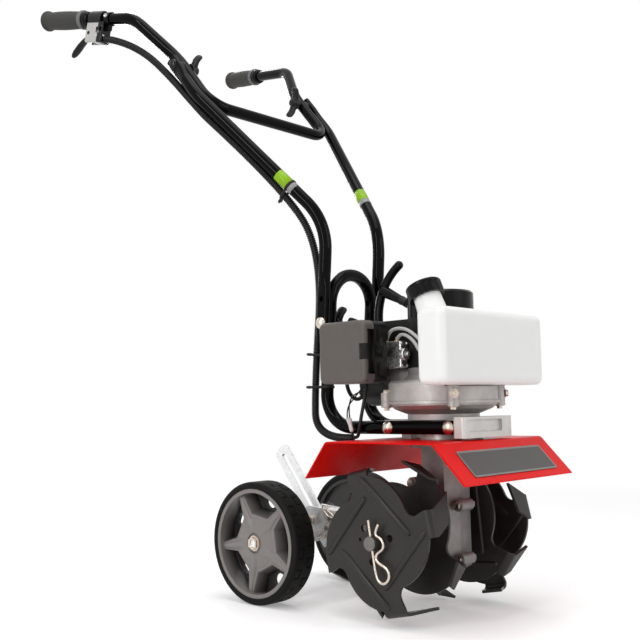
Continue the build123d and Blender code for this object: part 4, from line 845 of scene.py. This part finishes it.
wingKnob = {
    # level, side, foot of the axis and the way of one wing
    "places": [("upper", "right", (-126.1, 368.0, 843.0), (0, -0.325, 0.946)),
               ("upper", "left", (126.1, 368.0, 843.0), (0, -0.325, 0.946)),
               ("lower", "right", (-37.1, 139.256, 410.0), (0, -0.26, 0.966)),
               ("lower", "left", (37.1, 139.256, 410.0), (0, 0.95, 0.31))],
    "cone": [(0.0, 4.2), (0.0, 9.6), (0.5, 10.0), (2.2, 10.0), (3.0, 9.4), (9.0, 8.2), (13.0, 7.6),
             (14.4, 6.8), (15.0, 5.4), (15.0, 0.3), (11.6, 0.3), (11.6, 4.2)],
    "wing": [(5.2, 8.0), (11.0, 7.5), (19.0, 9.5), (26.5, 15.5)],
    "rows": [(0.0, 6.6, 5.2), (0.25, 7.2, 4.8), (0.5, 8.0, 4.3), (0.75, 8.6, 4.0), (0.9, 7.8, 3.6),
             (0.97, 5.8, 2.6), (1.0, 3.0, 1.2)],
}


def wingKnobs():
    for level, name, foot, wingWay in wingKnob["places"]:
        base = fromDrawing(*foot)
        axis = Vector((1 if name == "right" else -1, 0, 0))
        bm = bmesh.new()
        spunRing(bm, wingKnob["cone"], base, axis)
        for sign in (-1, 1):
            out = Vector(wingWay).normalized() * sign
            line = routeLine([base + out * reach * mm + axis * rise * mm for reach, rise in wingKnob["wing"]])
            addMesh(bm, bladeMesh(line, axis.cross(out), wingKnob["rows"]))
        finishRing(bm)
        node = f"knob_{level}_{name}"
        label = level.title() + name.title()
        newPiece(f"wingKnob{label}", bm, "blackMould", node, [node], sharp=50)


# pressed ribs of the outer tine plates, and the clips through the axle ends

tineRelief = {
    "face": 120.0,
    "axle": (0.0, 108.0),
    "turn": 40.0,
    "place": 49.0,
    "span": (69.0, -33.0),
    "sink": 0.8,
    "rows": [(0.0, 1.2), (0.008, 2.9), (0.03, 4.2), (0.97, 4.2), (0.992, 2.9), (1.0, 1.2)],
}
axleClip = {
    "place": 127.0,
    "tilt": -9.0,
    "radius": 1.9,
    "sides": 14,
    "step": 1.2,
    # distance beside the straight leg and along it
    "route": [(0, 30), (0, -12), (0, -38), (3, -49), (12, -53), (22, -46), (22, -34), (4, -24), (4.5, -14),
              (20, -8), (19, 4), (5, 11), (16, 23)],
}


def fromAxle(x, turn, along, up):
    # a point beside the tine axle, turned round it
    y, z = turn @ Vector((along, up))
    return fromDrawing(x, tineRelief["axle"][0] + y, tineRelief["axle"][1] + z)


def tineRibs():
    for side, name in bothSides:
        x = side * (tineRelief["face"] - tineRelief["sink"])
        bm = bmesh.new()
        for quarter in range(4):
            turn = Matrix.Rotation(radians(tineRelief["turn"] + 90.0 * quarter), 2)
            ends = [fromAxle(x, turn, along, tineRelief["place"]) for along in tineRelief["span"]]
            addMesh(bm, shapedRod(ends, tineRelief["rows"], 20))
        newPiece(f"tineRibs{name.title()}", bm, "tineDark", "tine_set", ())


def axleClips():
    turn = Matrix.Rotation(radians(axleClip["tilt"]), 2)
    for side, name in bothSides:
        x = side * axleClip["place"]
        points = [fromAxle(x, turn, -beside, along) for beside, along in axleClip["route"]]
        plainCable(f"axleClip{name.title()}", points, axleClip["radius"], "zincGold", "tine_set",
                   ["tine_clips"], axleClip["sides"], axleClip["step"])


# coloured bands round the lower handles

bands = {
    "foot": (62.1, 128.0, 562.0),
    "top": (155.4, 318.0, 783.0),
    # look, and where it starts and ends between foot and top
    "rows": [("greenBand", 0.267, 0.353), ("greyBand", 0.232, 0.2665)],
    "inner": 9.53,
    "outer": 9.78,
    "soft": 0.1,
}


def handleBands():
    inner, outer, soft = (bands[key] for key in ("inner", "outer", "soft"))
    for side, name in bothSides:
        foot, top = (fromDrawing(side * bands[end][0], *bands[end][1:]) for end in ("foot", "top"))
        way = top - foot
        for look, low, high in bands["rows"]:
            length = way.length * (high - low) / mm
            section = [(0, inner), (0, outer - soft), (soft, outer), (length - soft, outer),
                       (length, outer - soft), (length, inner)]
            ringPiece(f"{look}{name.title()}", section, foot + way * low, way, 64, look, "chassis", (),
                      50)


# bare plate on the fender's front flange

frontPlate = {
    "crease": (-104.5, 238.0),
    "foot": (-151.5, 188.5),
    "sheet": 1.05,
    "down": (16.2, 58.4),
    "across": (-99.0, 103.0),
    "corner": 3.0,
    "rim": 2.4,
    "slope": 0.5,
    "thick": 1.1,
    "dish": 0.35,
}


def barePlate():
    crease = fromDrawing(0, *frontPlate["crease"])
    foot = fromDrawing(0, *frontPlate["foot"])
    right = Vector((1, 0, 0))
    down = (foot - crease).normalized()
    out = down.cross(right)
    low, high = (v * mm for v in frontPlate["across"])
    near, far = (v * mm for v in frontPlate["down"])
    thick = frontPlate["thick"] * mm
    middle = crease + down * (near + far) / 2 + right * (low + high) / 2 + out * frontPlate["sheet"] * mm
    turn = Matrix((right, out.cross(right), out)).transposed().to_4x4()
    size = Matrix.Diagonal((high - low, far - near, thick, 1))
    bm = bmesh.new()
    bmesh.ops.create_cube(bm, size=1.0, matrix=size @ Matrix.Translation((0, 0, 0.5)))
    upright = [e for e in bm.edges if abs(e.verts[0].co.z - e.verts[1].co.z) > thick / 2]
    softEdges(bm, upright, frontPlate["corner"], 6)
    topFace = max(bm.faces, key=lambda f: f.calc_center_median().z)
    for key in ("rim", "slope"):
        for face in bmesh.ops.inset_region(bm, faces=[topFace], thickness=frontPlate[key] * mm)["faces"]:
            face.material_index = 1
    bmesh.ops.translate(bm, vec=(0, 0, -frontPlate["dish"] * mm), verts=topFace.verts)
    bmesh.ops.transform(bm, matrix=Matrix.Translation(middle) @ turn, verts=bm.verts)
    bmesh.ops.recalc_face_normals(bm, faces=bm.faces)
    piece = newPiece("bareFrontPlate", bm, "plateFace", "chassis", (), smooth=False)
    piece.data.materials.append(finishes["plateRim"])


# screws

screwSets = [
    # name, finish, sides, radius, height, washer, places with the way each head points
    ("deckScrews", "zincGold", 6, 4.6, 3.6, 6.2,
     [((-61.66, -91.66, 301.0), (-1, -1, 0)), ((61.66, -91.66, 301.0), (1, -1, 0)),
      ((-56.0, 26.0, 304.05), (0, 0, 1)), ((56.0, 26.0, 304.05), (0, 0, 1))]),
    ("clutchScrews", "zincGold", 6, 4.2, 3.4, 5.8,
     [((x, y, 283.95), (0, 0, -1)) for x in (-56.0, 56.0) for y in (-86.0, 26.0)]),
    ("barScrew", "zincGold", 6, 4.2, 3.2, 5.8, [((59.05, -95.0, 256.0), (1, 0, 0))]),
    ("carburettorScrews", "machined", 24, 1.9, 1.5, 0,
     [((x, -2.05, z), (0, -1, 0)) for x in (-54.6, -43.8) for z in (341.6, 372.4)]),
    ("bowlPlug", "machined", 6, 3.4, 2.6, 4.6, [((-51.5, -8.05, 357.0), (0, -1, 0))]),
    ("recoilScrews", "zincGold", 24, 2.6, 1.8, 3.6,
     [((38.0 * cos(turn), -30.0 + 38.0 * sin(turn), 444.55), (0, 0, 1))
      for turn in (radians(22.5), radians(112.5), radians(202.5), radians(292.5))]),
    ("shroudScrews", "zincGold", 24, 2.8, 2.0, 4.2, [((62.05, y, 372.0), (1, 0, 0)) for y in (0.0, 40.0)]),
]
screwShape = {
    "hexSides": 6,
    # rounding of the crown and depth of its recess, as shares of the height
    "hex": (0.16, 0.12),
    "round": (0.55, 0.45),
    # rim round the recess and slope into it, as shares of the radius
    "recess": (0.30, 0.10),
    "washerThick": 0.9,
    "washerSoft": 0.2,
    "washerBore": 0.3,
    "sharp": 32,
}


def screwCrown(bm, before, stand):
    # the highest of the faces that weren't there before
    back = stand.inverted()
    return max((f for f in bm.faces if f not in before), key=lambda f: (back @ f.calc_center_median()).z)


def screwHead(bm, place, way, sides, radius, height, washer):
    stand = aimed(place, way)
    base = 0.0
    if washer:
        base, soft = screwShape["washerThick"], screwShape["washerSoft"]
        bore = screwShape["washerBore"] * washer
        ring = [(0, bore), (0, washer), (base - soft, washer), (base, washer - soft), (base, bore)]
        spunRing(bm, ring, place, way, 32)
    before = set(bm.faces)
    addRod(bm, radius, height, sides, stand @ Matrix.Translation((0, 0, (base + height / 2) * mm)))
    rounding, sink = screwShape["hex" if sides == screwShape["hexSides"] else "round"]
    softEdges(bm, list(screwCrown(bm, before, stand).edges), rounding * height, 4)
    crown = screwCrown(bm, before, stand)
    for share in screwShape["recess"]:
        bmesh.ops.inset_region(bm, faces=[crown], thickness=share * radius * mm)
    bmesh.ops.translate(bm, vec=stand.to_3x3() @ Vector((0, 0, -sink * height * mm)), verts=crown.verts)


def fixings():
    for name, look, sides, radius, height, washer, places in screwSets:
        bm = bmesh.new()
        for place, way in places:
            screwHead(bm, fromDrawing(*place), way, sides, radius, height, washer)
        finishRing(bm)
        newPiece(name, bm, look, "chassis", (), sharp=screwShape["sharp"])


# throttle lever and the housing's screws, in the control's own frame, and the hand grips

control = {
    "origin": (-0.199366, 0.292414, 0.960041),
    "down": (-0.039758, 0.210194, -0.976851),
    "side": (-0.982577, -0.185854, 0.0),
    "along": (-0.181552, 0.959832, 0.213921),
    "lever": [(26.0, -10.0), (31.5, 0.0), (39.0, 10.0), (51.5, 20.5), (66.0, 31.5)],
    "blade": [(0.0, 5.2, 3.4), (0.12, 5.9, 3.6), (0.35, 6.3, 3.2), (0.55, 7.4, 3.0), (0.78, 7.6, 2.6),
              (0.91, 6.2, 2.1), (0.98, 3.8, 1.5), (1.0, 1.6, 0.7)],
    "pivot": (26.0, 0.0, -10.0),
    # radius and half length of the lever's boss and of its pin
    "bosses": [(5.5, 6.4), (3.0, 11.4)],
    "bossEdge": 0.5,
    # place, way, its sign, sides, radius, height
    "screws": [((31.0, 11.05, -31.0), "side", 1, 24, 1.9, 1.2),
               ((30.0, 6.0, -42.05), "along", -1, 24, 1.9, 1.2),
               ((38.0, -6.0, -42.05), "along", -1, 24, 1.9, 1.2),
               ((-2.0, 11.3, -47.0), "side", 1, 6, 3.6, 2.6)],
}
handGrip = {
    "end": (-0.2197, 0.399915, 0.984),
    "rings": [
        ("gripRubber", [(0, 1.2), (0, 16.4), (0.4, 17.1), (1.2, 17.5), (4.2, 17.5), (5.0, 17.1), (5.6, 16.2),
                        (7.0, 15.0), (9.0, 14.7), (16.0, 15.1), (28.0, 15.7), (45.0, 16.0), (62.0, 15.7),
                        (76.0, 15.1), (84.0, 14.8), (90.4, 14.8), (90.4, 9.7), (6.1, 9.7), (6.1, 1.2)]),
        ("gripGrey", [(90.5, 9.7), (90.5, 15.4), (91.2, 16.1), (92.0, 16.4), (96.4, 16.4), (97.2, 16.1),
                      (97.9, 15.4), (97.9, 9.7)]),
        ("blackShine", [(98.0, 9.7), (98.0, 13.6), (98.8, 14.3), (106.0, 14.3), (110.6, 13.4), (112.0, 12.2),
                        (112.0, 9.7)]),
    ],
}


def controlPoint(x, y, z):
    place = Vector(control["origin"])
    for key, value in (("down", x), ("side", y), ("along", z)):
        place = place + Vector(control[key]) * value * mm
    return place


def throttleLever():
    side = Vector(control["side"])
    bm = bladeMesh(routeLine([controlPoint(x, 0, z) for x, z in control["lever"]]), side, control["blade"])
    stand = aimed(controlPoint(*control["pivot"]), side)
    for radius, half in control["bosses"]:
        made = addRod(bm, radius, 2 * half, 32, stand)
        # edges that run round the rod, not along it
        rims = [e for e in edgesOf(made)
                if abs((e.verts[0].co - e.verts[1].co).normalized().dot(side)) < 0.5]
        softEdges(bm, rims, control["bossEdge"], 3)
    bmesh.ops.recalc_face_normals(bm, faces=bm.faces)
    newPiece("throttleLeverBlade", bm, "blackMould", "throttle_lever", ["throttle_lever"],
             sharp=40)


def controlScrews():
    bm = bmesh.new()
    for place, way, sign, sides, radius, height in control["screws"]:
        screwHead(bm, controlPoint(*place), Vector(control[way]) * sign, sides, radius, height, 0)
    finishRing(bm)
    newPiece("controlScrews", bm, "machined", "handlebar", (), sharp=screwShape["sharp"])


def handGrips():
    for side, name in bothSides:
        replaced = [f"grip_{name}"]
        end = Vector(handGrip["end"])
        way = -Vector(control["along"])
        end.x, way.x = -side * end.x, -side * way.x
        for look, section in handGrip["rings"]:
            ringPiece(f"{look}Sleeve{name.title()}", section, end, way, 64, look, "handlebar", replaced,
                      60)
            replaced = ()


# nipples, grommets, the cable's ferrule and the starter handle's nose

hoseNipple = [(0, 0.6), (0, 3.4), (1.2, 3.4), (1.4, 1.7), (6.0, 1.7), (6.0, 0.6)]
hoseGrommet = [(0, 2.45), (0, 6.0), (1.6, 6.0), (2.6, 5.0), (2.8, 3.6), (5.0, 3.2), (5.0, 2.45)]
leadGrommet = [(0, 3.05), (0, 6.4), (1.8, 6.4), (2.8, 5.4), (3.0, 4.2), (7.0, 3.8), (7.0, 3.05)]
pullFerrule = [(0, 0.8), (0, 4.6), (2.4, 4.6), (2.6, 3.0), (7.0, 3.0), (7.2, 3.6), (9.0, 3.6), (9.0, 2.55)]
fittings = [
    # name, finish, slot, axis start, way, section
    ("feedNipple", "brass", "zinc", (-49.0, 29.0, 375.9), (0, 0, 1), hoseNipple),
    ("returnNipple", "brass", "zinc", (-50.0, 10.0, 375.9), (0, 0, 1), hoseNipple),
    ("feedGrommet", "cableSkin", "black_plastic", (-72.0, -77.05, 360.0), (0, 1, 0), hoseGrommet),
    ("returnGrommet", "cableSkin", "black_plastic", (-84.0, -77.05, 352.0), (0, 1, 0), hoseGrommet),
    ("leadGrommet", "cableSkin", "black_plastic", (-20.0, 58.0, 390.0), (-0.35, 0.85, -0.2), leadGrommet),
    ("pullFerrule", "zincGold", "zinc", (-49.0, 36.05, 350.0), (0, 1, -0.1), pullFerrule),
]
handleNose = {
    "place": (-5.0, 69.0, 456.0),
    "way": (0, -0.8944, -0.4472),
    "section": [(37.0, 2.2), (37.0, 6.6), (38.6, 6.9), (43.0, 6.4), (46.0, 6.2), (46.6, 6.8), (49.4, 6.8),
                (50.2, 6.0), (50.2, 2.2)],
}


def smallFittings():
    for name, look, slot, place, way, section in fittings:
        ringPiece(name, section, fromDrawing(*place), way, 32, look, "chassis", (), 40)


def starterNose():
    # the collar at the end of the starter handle that meets the rope's outlet
    place = fromDrawing(*handleNose["place"])
    ringPiece("starterHandleNose", handleNose["section"], place, handleNose["way"], 40, "blackMould",
              "starter_pull", (), 40)


# cable ties: a strap round tube and loom, with its lock and cut tail

cableTie = {
    # middle of the tube, middle of the loom and the way along the tube
    "rows": [((-47.0, 142.75, 362.91), (-55.47, 161.66, 364.51), (0, 0.084, -0.996)),
             ((-47.0, 146.28, 315.75), (-54.6, 164.62, 315.95), (0, 0.01, -1.0)),
             ((-86.87, 178.45, 620.69), (-86.95, 192.78, 607.87), (0.305, -0.621, -0.722))],
    "radii": (9.65, 6.15),
    "width": 4.0,
    "thick": 1.1,
    # size and shift of the lock and of the tail
    "blocks": [((6.0, 4.6, 4.4), (0.0, 2.3, 0.0)), ((1.2, 4.6, 3.2), (-1.6, 4.2, 0.0))],
    "blockEdge": 0.5,
}


def tieStrap(bm, tube, held, along):
    # the hull of rings round tube and loom, with its flat ends taken away
    verts = []
    for middle, radius in zip((tube, held), cableTie["radii"]):
        for shift in (-0.5, 0.5):
            stand = aimed(middle + along * shift * cableTie["width"] * mm, along)
            verts += bmesh.ops.create_circle(bm, segments=48, radius=radius * mm, matrix=stand)["verts"]
    hull = bmesh.ops.convex_hull(bm, input=verts)
    bmesh.ops.delete(bm, geom=hull["geom_interior"], context="VERTS")
    made = dict.fromkeys(f for v in verts if v.is_valid for f in v.link_faces)
    caps = [f for f in made if abs(f.normal.dot(along)) > 0.7]
    bmesh.ops.delete(bm, geom=caps, context="FACES_ONLY")


def tieBlocks(bm, tube, held, along):
    out = (held - tube).normalized()
    side = along.cross(out).normalized()
    stand = Matrix((side, out, side.cross(out))).transposed().to_4x4()
    stand.translation = held + out * (cableTie["radii"][1] + cableTie["thick"]) * mm
    for size, shift in cableTie["blocks"]:
        block = Matrix.Translation(Vector(shift) * mm) @ Matrix.Diagonal((*(v * mm for v in size), 1))
        made = bmesh.ops.create_cube(bm, size=1.0, matrix=stand @ block)["verts"]
        softEdges(bm, edgesOf(made), cableTie["blockEdge"], 2)


def cableTies():
    straps = bmesh.new()
    heads = bmesh.new()
    for tube, held, along in cableTie["rows"]:
        place = (fromDrawing(*tube), fromDrawing(*held), Vector(along).normalized())
        tieStrap(straps, *place)
        tieBlocks(heads, *place)
    bmesh.ops.recalc_face_normals(straps, faces=straps.faces)
    bmesh.ops.recalc_face_normals(heads, faces=heads.faces)
    piece = newPiece("cableTieBands", straps, "blackMould", "chassis", ["cable_ties"])
    wall = piece.modifiers.new("wall", "SOLIDIFY")
    wall.thickness = cableTie["thick"] * mm
    wall.offset = 1.0
    newPiece("cableTieHeads", heads, "blackMould", "chassis", (), smooth=False)


makeCamera()
makeWorld()
makeLamps()
makeFloor()
print("camera and studio ready")
groups["skin"] = skinGroup()
groups["spangle"] = spangleGroup()
buildFinishes()
dressSolids()
print("finishes ready", len(finishes))
cableLoom()
controlCables()
engineHoses()
ropeStrands()
print("cables and hoses ready")
transportTyres()
hubRidges()
wingKnobs()
tineRibs()
axleClips()
handleBands()
barePlate()
print("tyres, bands and plate ready")
fixings()
throttleLever()
controlScrews()
handGrips()
smallFittings()
starterNose()
cableTies()
print("fixings ready")
